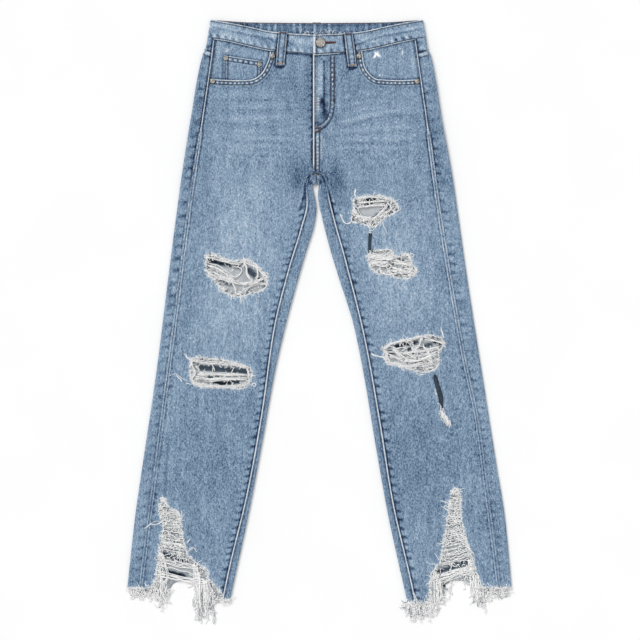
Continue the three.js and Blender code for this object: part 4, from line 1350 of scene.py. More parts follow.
def seam_ridge(name, path, width, height, look, lift=0.0):
    """A low rounded ridge carried along a seam: a closed profile, half an ellipse above and flat below,
    whose height ropes a little along the seam. look(x, y, c) gives its tone and bareness, where c runs
    from -1 to 1 across it."""
    line, heading = resample(path, 2.0)
    turn = np.linspace(0, np.pi, 12)
    along = line[:, 1]
    wide = width(along) * (1 + 0.10 * noise(along / 9, along * 0, 91))
    tall = 1 + 0.22 * np.sin(2 * np.pi * along / 7.5 + 2 * noise(along / 30, along * 0, 92))
    share = np.concatenate([np.cos(turn), [-0.9, 0.9]])[None] * np.ones((len(line), 1))
    up = np.concatenate([np.sin(turn) ** 0.7 * height, [-0.7, -0.7]])[None] * np.ones((len(line), 1))
    up[:, 1:11] *= tall[:, None]
    up += (front_top(line[:, 0], line[:, 1]) - 0.25 + lift)[:, None]
    flat = line[:, None, :] + leftward(heading)[:, None, :] * (share * (wide / 2)[:, None])[..., None]
    points = raised(flat, up).reshape(-1, 3)
    columns = share.shape[1]
    faces = grid_faces(len(line), columns, wrap=True)
    ends = np.stack([np.arange(columns)[::-1], (len(line) - 1) * columns + np.arange(columns)])
    tone, bare = look(points[:, 0], points[:, 1], share.ravel())
    denim_piece(name, points, [faces[:, ::-1], ends[:, ::-1]], tone, bare, tone)


def outseam_look(x, y, c):
    """Beside the pocket one worn ridge with painted shade down both sides; below it a flatter seam with two
    thin pale lines and painted shade between.
    """
    low = 1 - rise(y, 300, 345)
    flecks = 0.5 + 0.5 * noise(x / 2.5, y / 3.5, 93)
    faint = 0.75 + 0.25 * rise(y, -240, -60)
    high_tone = 0.46 + 0.18 * bump(c, 0.4) - 0.34 * bump(np.abs(c) - 0.95, 0.35)
    low_tone = 0.50 + 0.16 * faint * bump(np.abs(c) - 0.66, 0.26) - 0.12 * bump(c, 0.3)
    tone = high_tone * (1 - low) + low_tone * low + 0.05 * noise(x / 9, y / 7, 94)
    high_bare = (0.25 + 0.6 * flecks) * bump(c, 0.38)
    low_bare = 0.55 * faint * flecks * bump(np.abs(c) - 0.66, 0.25) * (0.45 + 0.55 * rise(y, -200, 150))
    return tone, high_bare * (1 - low) + low_bare * low


def inseam_look(x, y, c):
    """A pale worn ridge with painted shade down its sides, which fades out near the crotch."""
    shown = 1 - rise(y, 196, 226)
    flecks = 0.5 + 0.5 * noise(x / 2.5, y / 3.5, 95)
    tone = 0.40 + (0.10 + 0.22 * shown) * bump(c, 0.5) - 0.30 * bump(np.abs(c) - 1.0, 0.30) * shown
    return tone, (0.40 + 0.40 * flecks) * bump(c, 0.50) * shown


def build_seams(leg):
    """The outseam from the hem to the band, and the inseam from the hem to the crotch."""
    heights = np.arange(-450.0, band_edge("front_foot", leg.outseam(478)) - 1, 4.0)
    out_path = np.stack([leg.outseam(heights), heights], -1)
    width = lambda y: 3.0 + 3.6 * fall(y, 300, 345)
    seam_ridge("outseam_" + leg.name, out_path, width, 0.8, outseam_look)
    low = HEMS["back_" + leg.name][-1][1] + 3
    heights = np.arange(low, 246.0, 4.0)
    in_path = np.stack([leg.inseam(heights), heights], -1)
    seam_ridge("inseam_" + leg.name, in_path, lambda y: 3.4 + 0 * y, 1.2, inseam_look)


def build_crotch():
    """The short arched seam where the four panels meet."""
    arch = [(-24.5, 236), (-22, 246), (-12.5, 254.5), (-5, 253.5), (1.5, 252.5), (8.5, 247), (12, 238)]

    def look(x, y, c):
        # Pale along its crest and darker towards the middle: painted shade where the panels meet.
        return 0.30 + 0.26 * bump(c, 0.5) - 0.22 * bump(x + 5, 7), 0.05 * bump(c, 0.5)

    seam_ridge("crotch_seam", rounded(arch, 5), lambda y: 2.4 + 0 * y, 0.8, look, 0.45)


# ---- Pockets ----


def build_facing(leg):
    """The cloth seen in a pocket mouth: u runs across it and v from its curved foot up to the band."""
    foot = smooth(FACING_FEET[leg.name])
    ends = [p[0] for p in FACING_FEET[leg.name]]
    outer = leg.outseam(480) + leg.side * 3.5
    inner = max(ends) if leg.side < 0 else min(ends)
    u = np.linspace(inner, outer, 56)
    v = np.linspace(0, 1, 44)[:, None]
    low, high = foot(u), band_edge("front_foot", u) + 1.0
    x = np.repeat(u[None], len(v), axis=0)
    y = low + (high - low) * v
    x = x + leg.side * 0.14 * (470 - y) * rise(np.abs(x), np.abs(outer) - 40, np.abs(outer))
    top = FACING_TOP if leg.side < 0 else LEFT_FACING_TOP
    z = top + 0.25 * noise(x / 22, y / 26, 45) + 0.35 * bump(y - 435, 14)
    x, y, z = x.ravel(), y.ravel(), z.ravel()
    lip = line_distance(x, y, leg.mouth)
    # Painted shadow just inside the mouth's edge, under the band's foot and beside the outseam.
    tone = 0.585 + 0.03 * noise(x / 12, y / 12, 55) - 0.30 * fall(lip, 0.5, 4.5)
    tone -= 0.24 * fall(band_edge("front_foot", x) - y, 1.0, 4.0)
    tone -= 0.24 * bump(leg.from_outseam(x, y) - 3.2, 1.7)
    tone += (0.12 if leg.side > 0 else 0.05) * bump(leg.from_outseam(x, y) - 8, 2.5)
    bare = np.zeros(x.shape)
    if leg.side > 0:
        star = np.hypot(x - 97, (y - 455) / 0.85)
        turn = np.arctan2(y - 455, x - 97)
        ray = 1 + 0.45 * np.cos(4 * turn + 2.6) + 0.35 * np.cos(3 * turn + 0.8)
        ray = ray + 0.25 * noise(x / 2.5, y / 2.5, 80)
        fleck = 0.7 * bump(x - 141, 1.2) * bump(y - 458, 4.0)
        bare = np.maximum(1.1 * fall(star / ray, 2.0, 6.4), fleck)
    else:
        # Painted shadow round the coin pocket.
        tone -= 0.24 * bump(line_distance(x, y, coin_edge()), 2.2)
        bare = 0.5 * bump(x + 158, 5) * bump(y - 462, 4) * (noise(x / 1.6, y / 1.6, 83) > 0.1)
    faces = grid_faces(44, 56)
    faces = faces if leg.side > 0 else faces[:, ::-1]
    piece = denim_piece("pocket_facing_%s_cloth" % leg.name, corners_of(x, y, z), faces, tone, bare, tone,
                        ["pocket_facing_" + leg.name], sizes().cloth)


def coin_edge():
    """Outline of the coin pocket, open at its foot."""
    outer, inner = COIN["outer"], COIN["inner"]
    sides = [(outer, COIN["foot"]), (outer, COIN["outer_top"])]
    return sides + [(inner, COIN["inner_top"]), (inner, COIN["foot"])]


def build_coin_pocket():
    """The coin pocket: u across and v up to its slanting top, with a double hem 9 mm deep."""
    u = np.linspace(0, 1, 58)[None]
    v = np.linspace(0, 1, 52)[:, None]
    x = COIN["outer"] + (COIN["inner"] - COIN["outer"]) * u + 0 * v
    top = COIN["outer_top"] + (COIN["inner_top"] - COIN["outer_top"]) * u
    y = COIN["foot"] + (top - COIN["foot"]) * v
    x, y = x.ravel(), y.ravel()
    from_top = (top + 0 * v).ravel() - y
    edge = np.minimum(x - COIN["outer"], COIN["inner"] - x)
    z = COIN_TOP + 0.5 * rise(from_top, -0.2, 1.2) * rise(edge, -0.2, 1.2) - 0.3
    z += 0.35 * (1 - rise(from_top, 9, 10.5) - bump(from_top - 2.2, 0.9) - bump(from_top - 8.2, 0.9))
    z -= 0.3 * bump(edge - 2.2, 0.8) + 0.3 * bump(edge - 7.2, 0.8)
    tone = 0.575 + 0.03 * noise(x / 11, y / 11, 56)
    beads = np.sin(2 * np.pi * x / 9.0 + 1.0)
    tone += 0.24 * beads * bump(from_top - 5.4, 1.8)
    tone -= 0.26 * bump(from_top - 2.6, 1.0) + 0.26 * bump(from_top - 8.4, 1.0)
    tone += 0.12 * bump(from_top - 10.6, 1.1) + 0.16 * bump(from_top - 0.6, 0.9)
    rows = bump(edge - 2.4, 1.0) + bump(edge - 7.4, 1.0)
    tone -= 0.22 * rows * rise(from_top, 8, 10)
    tone += 0.11 * np.sin(2 * np.pi * y / 8.0) * bump(edge - 4.9, 1.6) * rise(from_top, 8, 11)
    tone += 0.10 * bump(edge - 0.4, 0.8)
    # Painted shadow along the mouth's edge and round the rivets.
    tone -= 0.22 * fall(line_distance(x, y, LEGS["right"].mouth), 0.5, 4.0) + 0.3 * painted_rivet_shadow(x, y)
    bare = 0.30 * bump(from_top - 0.4, 0.8) + 0.35 * bump(from_top - 5.4, 1.3) * np.maximum(beads, 0)
    piece = denim_piece("coin_pocket_cloth", corners_of(x, y, z), grid_faces(52, 58), tone, bare, tone,
                        ["coin_pocket"], sizes().cloth * 0.9)


def build_back_pocket(side, name):
    """A back pocket: v runs down from its top by a depth that grows to a point in the middle."""
    u = np.linspace(-1, 1, 49)[None]
    v = np.linspace(0, 1, 49)[:, None]
    shape = BACK_POCKET
    depth = shape["height"] - shape["point"] * np.abs(u)
    half = shape["half"] - (shape["half"] - shape["narrow"]) * v
    x = (CENTRE + side * shape["middle"] + u * half).ravel()
    down = (v * depth).ravel()
    y = shape["top"] - down
    edge = np.minimum(np.minimum((1 - np.abs(u)) * shape["half"] + 0 * v, depth * (1 - v)).ravel(), down)
    z = 0.28 + 0.25 * bump(edge - 2.2, 0.8) + 0.25 * bump(edge - 8.0, 0.9)
    rows = 0.14 * bump(edge - 2.3, 1.0) + 0.13 * bump(edge - 8.0, 1.0)
    tone = 0.60 + 0.03 * noise(x / 20, y / 20, 57) - rows
    tone += 0.07 * np.sin((x + y) * 0.6) * bump(edge - 5, 2.2) + 0.08 * bump(edge, 1.4)
    bare = 0.5 * fall(edge, 0.2, 1.3)
    faces = grid_faces(49, 49)
    piece = denim_piece("back_pocket_%s_cloth" % name, corners_of(x, y, z), faces, tone, bare, tone,
                        ["back_pocket_" + name], 0.75 * MM)


# ---- Waistband and belt loops ----


BAND_CREASES = [[(60, 470), (84, 478), (108, 485.5), (140, 491.5), (174, 498)],
                [(-178, 500), (-130, 489), (-84, 481), (-74, 474)]]


def band_stations():
    """The band's path, from the overlapping end on the wearer's left, round the left side, across the back,
    round the right side and to the end under the overlap: place, outer height, way to the inner face as
    (across, up), and how much each stop belongs to the back."""
    def flat(places, z, into, back):
        ones = np.ones(len(places))
        return np.stack([places, z * ones, 0 * ones, into * ones, back * ones], -1)

    lift = lambda places: OVERLAP_RISE * fall(places, 14, 44)
    left = np.arange(-6.0, 176.0, 2.2)
    turn = np.linspace(0, np.pi, 16)[1:-1]
    middle = (BAND_TOP + SEAT_LIFT) / 2
    half = (BAND_TOP - SEAT_LIFT) / 2
    round_x = WAIST_HALF - FOLD_REACH * (1 - np.sin(turn))
    round_z = middle + half * np.cos(turn)
    left_fold = np.stack([round_x, round_z, -np.sin(turn), -np.cos(turn), rise(turn, 0.9, 2.2)], -1)
    back = np.arange(175.0, -176.0, -3.5)
    right_fold = left_fold[::-1] * [-1, 1, -1, 1, 1]
    right = np.arange(-176.0, 23.0, 2.2)
    return np.concatenate([flat(left, BAND_TOP + lift(left), -1, 0), left_fold, flat(back, SEAT_LIFT, 1, 1),
                           right_fold, flat(right, BAND_TOP, -1, 0)])


def build_waistband():
    """A folded strip: at each stop a closed profile whose share t runs from foot to top on the outer face,
    over the rounded top edge, down the inner face and under the rounded foot."""
    stops = band_stations()
    turn = np.linspace(0, np.pi, 6)
    t_out = np.concatenate([[0.03, 0.045, 0.065, 0.09, 0.12], np.linspace(0.16, 0.84, 15),
                            [0.875, 0.90, 0.925, 0.95, 0.97]])
    t_in = np.linspace(0.97, 0.03, 12)
    t = np.concatenate([t_out, 0.97 + 0.03 * np.sin(turn[1:-1]), t_in, 0.03 - 0.03 * np.sin(turn[1:-1])])
    f = np.concatenate([0 * t_out, (1 - np.cos(turn[1:-1])) / 2, 0 * t_in + 1, (1 + np.cos(turn[1:-1])) / 2])
    place, level, in_x, in_z, back = (stops[:, k][:, None] for k in range(5))
    run = np.concatenate([[0], np.cumsum(np.hypot(np.diff(stops[:, 0]), np.diff(stops[:, 1])))])[:, None]
    spread = 1 + (FOOT_SPREAD - 1) * (1 - t)
    face = 1 - 2 * f
    x0 = place * spread
    x = WAIST_MIDDLE + x0 + in_x * f * BAND_CLOTH
    at = np.abs(x0)
    top = BAND["front_top"](at) * (1 - back) + BAND["back_top"](at) * back
    foot = BAND["front_foot"](at) * (1 - back) + BAND["back_foot"](at) * back
    y = foot + (top - foot) * t
    wave = np.sin(2 * np.pi * run / 12.0 + 1.5 * noise(run / 50, t * 0, 85) + 3 * t)
    low_row = bump(t - 0.20, 0.09) * (0.8 + 0.5 * noise(run / 17, t * 0, 78))
    dimple = (wave - 0.1) * (low_row + 0.5 * bump(t - 0.83, 0.07) * noise(run / 30, t * 0, 81))
    folds = 0.75 * noise(run / 34, t * 4.6 + 0.02 * run, 86) + 0.45 * noise(run / 11, t * 7, 89)
    rows = 0.35 * bump(t - 0.93, 0.02) + 0.4 * bump(t - 0.06, 0.02)
    puff = 0.30 * dimple + 0.35 * folds * np.sin(np.pi * t) - rows
    on_front = 1 - back
    puff = puff * face * (0.25 + 0.75 * on_front)
    z = level + in_z * f * BAND_CLOTH + np.where(in_z <= 0, 1, -1) * puff
    z = np.maximum(z, 0.05)
    # Lighter on the puffed folds and darker in the dimples: partly worn cloth, partly painted light and shade.
    tone = 0.66 + 0.15 * folds * face + 0.26 * dimple * face + 0.02 * noise(x / 8, y / 8, 58)
    tone += 0.10 * bump(t - 0.01, 0.025) - 0.27 * bump(t - 0.075, 0.024) - 0.20 * bump(t - 0.915, 0.022)
    # Painted shade in each crease across the front and painted light on the fold above it.
    for line, side in ((BAND_CREASES[0], 1), (BAND_CREASES[1], 0)):
        crease = line_distance(x, y, line) + 0 * t
        above = line_distance(x, y - 4.5, line) + 0 * t
        tone -= (0.13 + 0.08 * side) * bump(crease, 1.8) * on_front * face
        tone += 0.10 * bump(above, 2.2) * on_front * face
    # Painted shadow round the belt loops.
    tone -= 0.55 * painted_loop_shadow(x, y) * on_front
    tone -= 0.05 * bump(x - 30, 24) * on_front
    # Painted shadow round the button.
    knob = np.hypot(x - BUTTON["x"], y - BUTTON["y"]) - BUTTON["radius"]
    tone -= 0.26 * fall(knob, 0.4, 3.6) * (run < 60) * on_front
    streaks = np.maximum(np.sin(2 * np.pi * x / 11.5 + 2.2 * noise(x / 30, y * 0, 87)), 0) ** 3
    inside_tone = 0.42 + 0.34 * streaks + 0.05 * noise(x / 6, y / 9, 88) - 0.14 * bump(t - 0.90, 0.04)
    # Painted shadow of the front's top edge on the inside of the back.
    inside_tone = inside_tone - 0.14 * fall(y - band_edge("front_top", x), 0.5, 5.0)
    tone = np.where((face < 0) & (back > 0.5), inside_tone, tone)
    worn = 0.5 + 0.5 * noise(run / 5, t * 9, 79)
    bare = np.where(t > 0.962, 0.05 + 0.45 * worn, 0.0) + 0.50 * worn * bump(t - 0.01, 0.02)
    first = 1 - rise(run, 1.6, 4.6)
    bare = np.maximum(bare * (on_front + 0.2), 0.75 * first) + 0 * x
    tone = tone - 0.22 * bump(run - 5.6, 1.6)
    # Painted shade in the sunken buttonhole slit.
    slit = bump(np.maximum(np.abs(x - 18.5) - 8.0, 0), 1.0) * bump(y - BUTTON["y"] - 0.4, 1.5) * (run < 60)
    z = z - 0.9 * slit * (face > 0)
    tone = tone - 0.40 * slit
    columns = len(t)
    faces = grid_faces(len(stops), columns, wrap=True)
    ends = np.stack([np.arange(columns), (len(stops) - 1) * columns + np.arange(columns)[::-1]])
    faces = [faces[:, ::-1], ends[:, ::-1]]
    piece = denim_piece("waistband_cloth", corners_of(x, y, z), faces, tone, bare, tone, ["waistband"])


def loop_shape(x, foot, lean, low, bow, name):
    """A belt loop: u across its folded strip and v up it; the edges roll down, two grooves hold its stitch
    rows, it bows up in the middle, and both ends are pressed flat under their bar tacks."""
    u = np.linspace(-1, 1, 21)[None]
    v = np.linspace(0, 1, 61)[:, None]
    half = LOOP["width"] / 2
    px = x + half * u * (1 - 0.02 * np.sin(v * 9)) + lean * v
    py = foot + LOOP["length"] * v + 0 * u
    top = low + LOOP["cloth"] + bow * np.sin(np.pi * v)
    out = np.abs(u)
    ridge = 0.12 * noise(v * 14, u * 2, 95) - 0.75 * rise(out, 0.80, 1.0) - 0.30 * bump(out - 0.56, 0.10)
    pressed = -0.45 * fall(v, 0.0, 0.07) - 0.35 * rise(v, 0.94, 1.0)
    z = top + ridge + pressed if low > 0 else 0.12 - 0.5 * (ridge + pressed) + 0 * v
    tone = 0.60 + 0.08 * rise(out, 0.80, 0.92) - 0.28 * bump(out - 0.60, 0.13) + 0.06 * bump(u, 0.25)
    # At the very edges, painted shade where they roll down.
    tone = tone + 0.16 * noise(v * 14, u * 1.2, 96) * bump(u, 0.5) - 0.45 * rise(out, 0.955, 0.99)
    tone = tone - 0.25 * bump(v - 0.105, 0.022) - 0.22 * bump(v - 0.93, 0.02) + 0.08 * bump(v - 0.05, 0.03)
    bare = 0.50 * rise(out, 0.84, 0.95) * (0.6 + 0.5 * noise(v * 22, u, 97))
    faces = grid_faces(61, 21)
    faces = faces if low > 0 else faces[:, ::-1]
    piece = denim_piece("belt_loop_%s_cloth" % name, corners_of(px, py, z), faces, tone, bare, tone,
                        ["belt_loop_" + name], (LOOP["cloth"] - 0.1) * MM)


def build_loops():
    """Two belt loops on the front of the band, and three on the back, which lie on the table."""
    for name, x, foot, lean in FRONT_LOOPS:
        loop_shape(x, foot, lean, HIP_TOP + GAP, LOOP["bow"], name)
    for name, x in BACK_LOOPS:
        loop_shape(x, 452, 0, 0, 0.0, name)


# ---- Metal and zip ----


def lathed(profile, x, y, base, segments=40):
    """A turned shape: the profile of (radius, height) points swept round the upright axis at x, y. Its first
    and last points lie on the axis and close it."""
    radius, height = np.array(profile, float).T
    angle = 2 * np.pi * np.arange(segments) / segments
    r = np.maximum(radius, 0.001)
    points = np.stack([x + r[:, None] * np.cos(angle), y + r[:, None] * np.sin(angle),
                       np.repeat(base + height[:, None], segments, axis=1)], -1).reshape(-1, 3)
    return points, grid_faces(len(profile), segments, wrap=True)


def build_button():
    """The shank button: stem, domed cap with a rolled rim, a sunk ring and a raised plain middle, and the
    small beads of its cast border."""
    profile = [(0, 0), (1.5, 0), (1.5, 2.5), (5.6, 2.6), (7.2, 3.0), (7.8, 3.7), (7.9, 4.4), (7.7, 5.1),
               (7.1, 5.6), (6.5, 5.8), (6.0, 5.65), (5.6, 5.3), (5.1, 5.15), (4.4, 5.2), (3.8, 5.45),
               (3.2, 5.6), (2.4, 5.5), (1.7, 5.25), (1.0, 5.2), (0, 5.2)]
    body = lathed(profile, BUTTON["x"], BUTTON["y"], BUTTON["base"] - 0.1)
    beads = []
    for step in range(24):
        angle = 2 * np.pi * step / 24
        centre = (BUTTON["x"] + 5.35 * np.cos(angle), BUTTON["y"] + 5.35 * np.sin(angle))
        dome = [(0, 5.0), (0.38, 5.1), (0.42, 5.25), (0.28, 5.45), (0, 5.52)]
        beads.append(lathed(dome, *centre, BUTTON["base"] - 0.1, 8))
    points, faces = merge([body, *beads])
    worn = metal("button_metal", "metal", 0.38)
    make_piece("shank_button", points, faces, [worn], ["button"])


RIVETS = [("rivet_pocket_right", -80, 452, 7.0), ("rivet_pocket_left", 67, 452, 7.0),
          ("rivet_side_right", -182, 409.5, 7.0), ("rivet_side_left", 165.5, 409, 7.0),
          ("rivet_coin_outer", -159.5, 448.5, 5.6), ("rivet_coin_inner", -102.5, 438, 5.6)]


def painted_rivet_shadow(x, y):
    """1 where shadow is painted close round the rivets, falling to 0 some millimetres away."""
    shade = np.zeros(np.shape(x))
    for _, middle_x, middle_y, _ in RIVETS:
        shade = np.maximum(shade, 1 - rise(np.hypot(x - middle_x, y - middle_y) - 4.2, 0.2, 2.8))
    return shade


def build_rivets():
    """Each rivet: a shallow plate with a rolled rim, a groove and a rounded nipple in the middle."""
    profile = [(0, 0), (4.0, 0), (4.2, 0.2), (4.15, 0.5), (3.8, 0.7), (3.4, 0.6), (3.0, 0.45), (2.6, 0.5),
               (2.2, 0.9), (1.7, 1.3), (1.1, 1.4), (0.7, 1.15), (0, 1.05)]
    for name, x, y, base in RIVETS:
        points, faces = lathed(profile, x, y, base, 28)
        make_piece(name + "_cap", points, faces, [metal("rivet_metal", "rivet", 0.42)], [name])


ZIP = {"left": -16.0, "right": 10.0, "foot": 330.0, "top": 450.0, "low": 4.3, "middle": -3.0}


def build_zip():
    """The closed zip under the fly: two woven tapes with a rolled inner edge, teeth that mesh in turn from
    either side every 2 mm, and the slider at the top."""
    tapes = []
    for start, end in ((ZIP["left"], ZIP["middle"] - 0.6), (ZIP["middle"] + 0.6, ZIP["right"])):
        u = np.linspace(0, 1, 9)[None]
        v = np.linspace(ZIP["foot"], ZIP["top"], 61)[:, None]
        edge = u if end < 0 else 1 - u
        x = start + (end - start) * u + 0 * v
        z = ZIP["low"] + 0.35 + 0.25 * rise(edge, 0.85, 1.0) + 0 * v
        tapes.append((corners_of(x, v, z), grid_faces(61, 9)))
    points, faces = merge(tapes)
    piece = make_piece("zip_tapes", points, faces, [thread("zip_tape", "tape")], ["fly_zip"])
    thicken(piece, 0.4 * MM, 0, 0)
    heights = np.arange(ZIP["foot"] + 4, ZIP["top"] - 10, 1.0)
    side = np.where(np.arange(len(heights)) % 2 == 0, -1.0, 1.0)
    start = np.stack([ZIP["middle"] + side * 1.9, heights, np.full(len(heights), ZIP["low"] + 0.55)], -1)
    end = np.stack([ZIP["middle"] - side * 0.7, heights, np.full(len(heights), ZIP["low"] + 0.55)], -1)
    paths = start[:, None] + (end - start)[:, None] * np.linspace(0, 1, 5)[None, :, None]
    teeth = tubes(paths, np.array([0.30, 0.42, 0.42, 0.48, 0.30])[None], sides=4)
    body = [(ZIP["middle"], 440.0, ZIP["low"] + 0.55), (ZIP["middle"], 443.0, ZIP["low"] + 0.6),
            (ZIP["middle"], 447.0, ZIP["low"] + 0.6), (ZIP["middle"], 449.5, ZIP["low"] + 0.55)]
    slider = tubes(np.array([body]), np.array([[0.42, 0.50, 0.50, 0.38]]), sides=4)
    slider[0][:, 0] = ZIP["middle"] + (slider[0][:, 0] - ZIP["middle"]) * 7
    points, faces = merge([teeth, slider])
    make_piece("zip_teeth", points, faces, [metal("zip_metal", "rivet", 0.45)])


# ---- Stitching ----


def strokes(centres, way, shares):
    """Short straight runs of points, one through each centre, with a point at each share of the way."""
    return centres[:, None, :] + way[:, None, :] * np.array(shares)[None, :, None]


def stitch_row(line, surface, seed, pitch=None, length=None, sink=0.1, radius=None):
    """A row of stitches: short threads every pitch along a line, each dipping into the cloth at both ends,
    each turned and moved a little by chance."""
    size = sizes()
    pitch = pitch or size.stitch_pitch / MM
    length = length or size.stitch / MM
    radius = radius or size.stitch_radius / MM
    rng = np.random.default_rng(seed)
    centres, heading = resample(line, pitch)
    angle = np.arctan2(heading[:, 1], heading[:, 0]) + rng.normal(0, 0.05, len(centres))
    centres = centres + rng.normal(0, 0.12, centres.shape)
    way = length * np.stack([np.cos(angle), np.sin(angle)], -1)
    flat = strokes(centres, way, (-0.5, -0.25, 0.25, 0.5))
    dip = np.array([-0.45, 0.05, 0.05, -0.45])
    z = surface(flat[..., 0], flat[..., 1]) - sink + dip * radius * 1.6 + radius * 0.7
    return tubes(raised(flat, z), radius * np.array([0.7, 1.0, 1.0, 0.7])[None])


def bartack(start, end, surface, width, seed, lift=0.0):
    """A bar tack: close stitches across a short line, each width long."""
    run = np.subtract(end, start)
    length = np.hypot(*run)
    line = np.linspace(start, end, max(3, int(length / 0.75)))
    rng = np.random.default_rng(seed)
    flat = strokes(line, leftward(run[None] / length) * width, (-0.5, -0.2, 0.2, 0.5))
    flat = flat + rng.normal(0, 0.08, (len(line), 1, 2))
    z = surface(flat[..., 0], flat[..., 1]) + lift + np.array([0.0, 0.45, 0.45, 0.0])
    return tubes(raised(flat, z), 0.42)


def band_surface(x, y):
    """Outer face of the waistband's front."""
    across = np.asarray(x) - WAIST_MIDDLE
    return BAND_TOP + OVERLAP_RISE * fall(across, 14, 44) * (across > -6) + 0 * np.asarray(y)


def level_surface(z):
    """A flat surface at height z, as a function of place."""
    return lambda x, y: np.full(np.shape(x), float(z))


def curve_line(curve, low, high, shift=0.0):
    """Points of a curve x(y) every 6 mm, moved across by shift."""
    heights = np.linspace(low, high, max(2, int(abs(high - low) / 6)))
    return np.stack([curve(heights) + shift, heights], -1)


def edge_line(name, start, end, drop):
    """Points along an edge of the waistband, drop below it."""
    places = np.linspace(start, end, max(2, int(abs(end - start) / 6)))
    return np.stack([places, band_edge(name, places) - drop], -1)


def build_waist_stitching():
    """Rows along the top and the foot of the band, its overlapping end and its buttonhole."""
    rows = []
    for start, end in ((WAIST_MIDDLE - 4, 174), (-184, -14)):
        rows.append(stitch_row(edge_line("front_top", start, end, 2.9), band_surface, 101))
        rows.append(stitch_row(edge_line("front_foot", start, end, -2.7), band_surface, 102))
    rows.append(stitch_row(np.array([(-6.0, 457.0), (-5.6, 486.0)]), band_surface, 103))
    back = lambda name, drop: edge_line(name, -172, 163, drop)
    under = level_surface(SEAT_LIFT - 0.35)
    rows.append(stitch_row(back("back_top", 2.4), under, 104))
    rows.append(stitch_row(back("back_foot", -2.2), under, 105))
    thread_piece("stitches_waistband", rows, thread("topstitch", "topstitch"))
    inner = level_surface(SEAT_LIFT + BAND_CLOTH + 0.3)
    rust = thread("rust_thread", "rust")
    thread_piece("stitches_waist_inside", [stitch_row(back("back_top", 0.9), inner, 106, length=3.3)], rust)
    hole = rounded([(9, 475.2), (20, 475.6), (27, 475.4), (20, 473.6), (9, 473.0)], 6)
    ring, heading = resample(hole, 0.8)
    flat = strokes(ring, 2.0 * leftward(heading), (-0.5, 0.0, 0.5))
    z = band_surface(flat[..., 0], flat[..., 1]) + np.array([0.0, 0.4, 0.0])
    thread_piece("buttonhole_stitches", [tubes(raised(flat, z), 0.36)], rust)


def build_pocket_stitching():
    """Two rows round each pocket mouth, the coin pocket's rows and the back pockets' rows."""
    rows = []
    for leg in LEGS.values():
        line = leg.mouth[leg.mouth[:, 1] < band_edge("front_foot", leg.mouth[:, 0]) - 2]
        line = line[np.abs(line[:, 0]) < np.abs(leg.outseam(412)) - 3]
        for inset, seed in ((3.0, 111), (8.0, 113)):
            moved = offset(line, inset)
            if clearance(*moved[len(moved) // 2], leg.mouth_ring()) < 0:
                moved = offset(line, -inset)
            rows.append(stitch_row(moved, lambda x, y: front_top(x, y) + 0.45, seed + leg.side))
    surface = level_surface(COIN_TOP + 0.3)
    slant = (COIN["inner_top"] - COIN["outer_top"]) / (COIN["inner"] - COIN["outer"])
    for drop in (2.6, 8.4):
        start, end = COIN["outer"] + 3, COIN["inner"] - 3
        top = lambda x: COIN["outer_top"] + slant * (x - COIN["outer"]) - drop
        rows.append(stitch_row(np.array([(start, top(start)), (end, top(end))]), surface, 113))
    for x in (COIN["outer"] + 2.4, COIN["outer"] + 7.4, COIN["inner"] - 2.4, COIN["inner"] - 7.4):
        rows.append(stitch_row(np.array([(x, 442.0), (x, 404.0)]), surface, 114))
    thread_piece("stitches_front_pockets", rows, thread("topstitch", "topstitch"))
    rows = []
    for side in (-1, 1):
        middle = CENTRE + side * BACK_POCKET["middle"]
        for inset in (2.3, 8.0):
            half, low = BACK_POCKET["half"] - inset, BACK_POCKET["narrow"] - inset
            top, corner = BACK_POCKET["top"], BACK_POCKET["top"] - 120 + inset * 0.5
            point = BACK_POCKET["top"] - BACK_POCKET["height"] + inset
            around = [(middle - half, top), (middle - low, corner), (middle, point), (middle + low, corner),
                      (middle + half, top)]
            rows.append(stitch_row(np.array(around), level_surface(0.05), 115, sink=-0.05, radius=0.3))
        for drop in (2.3, 12.0):
            across = [(middle - 64, BACK_POCKET["top"] - drop), (middle + 64, BACK_POCKET["top"] - drop)]
            rows.append(stitch_row(np.array(across), level_surface(0.05), 116, sink=-0.05, radius=0.3))
    thread_piece("stitches_back_pockets", rows, thread("topstitch", "topstitch"))


def build_fly_stitching():
    """The row beside the fly's edge, the two curved rows that hold the fly, the rows down to the crotch and
    two short rows below it."""
    rows = []
    for number, line in enumerate(FLY_ROWS.values()):
        rows.append(stitch_row(rounded(line, 8), front_top, 121 + number))
    for x in (-10.8, -4.7):
        rows.append(stitch_row(np.array([(x, 250.0), (x + 0.4, 234.0)]), front_top, 127))
    thread_piece("stitches_fly", rows, thread("topstitch", "topstitch"))


def build_yoke_stitching():
    """Two rows along each yoke seam, on the strips at the hips and across the back."""
    rows = []
    for leg in LEGS.values():
        for lift in (-1.2, 7.8):
            edge = leg.fold(455) - leg.side * 3.5
            seam = leg.outseam(455) + leg.side * 3.0
            places = np.linspace(seam, edge, 5)
            line = np.stack([places, yoke_seam(places) + lift], -1)
            surface = lambda x, y: front_height(y) + FOLD_RISE + 0.35
            rows.append(stitch_row(line, surface, 131))
            places = np.linspace(leg.side * 4 + CENTRE, edge - leg.side * 3, 40)
            line = np.stack([places, yoke_seam(places) + lift], -1)
            rows.append(stitch_row(line, level_surface(SEAT_LIFT + 0.05), 132, sink=0.35, radius=0.35))
    thread_piece("stitches_yokes", rows, thread("topstitch", "topstitch"))


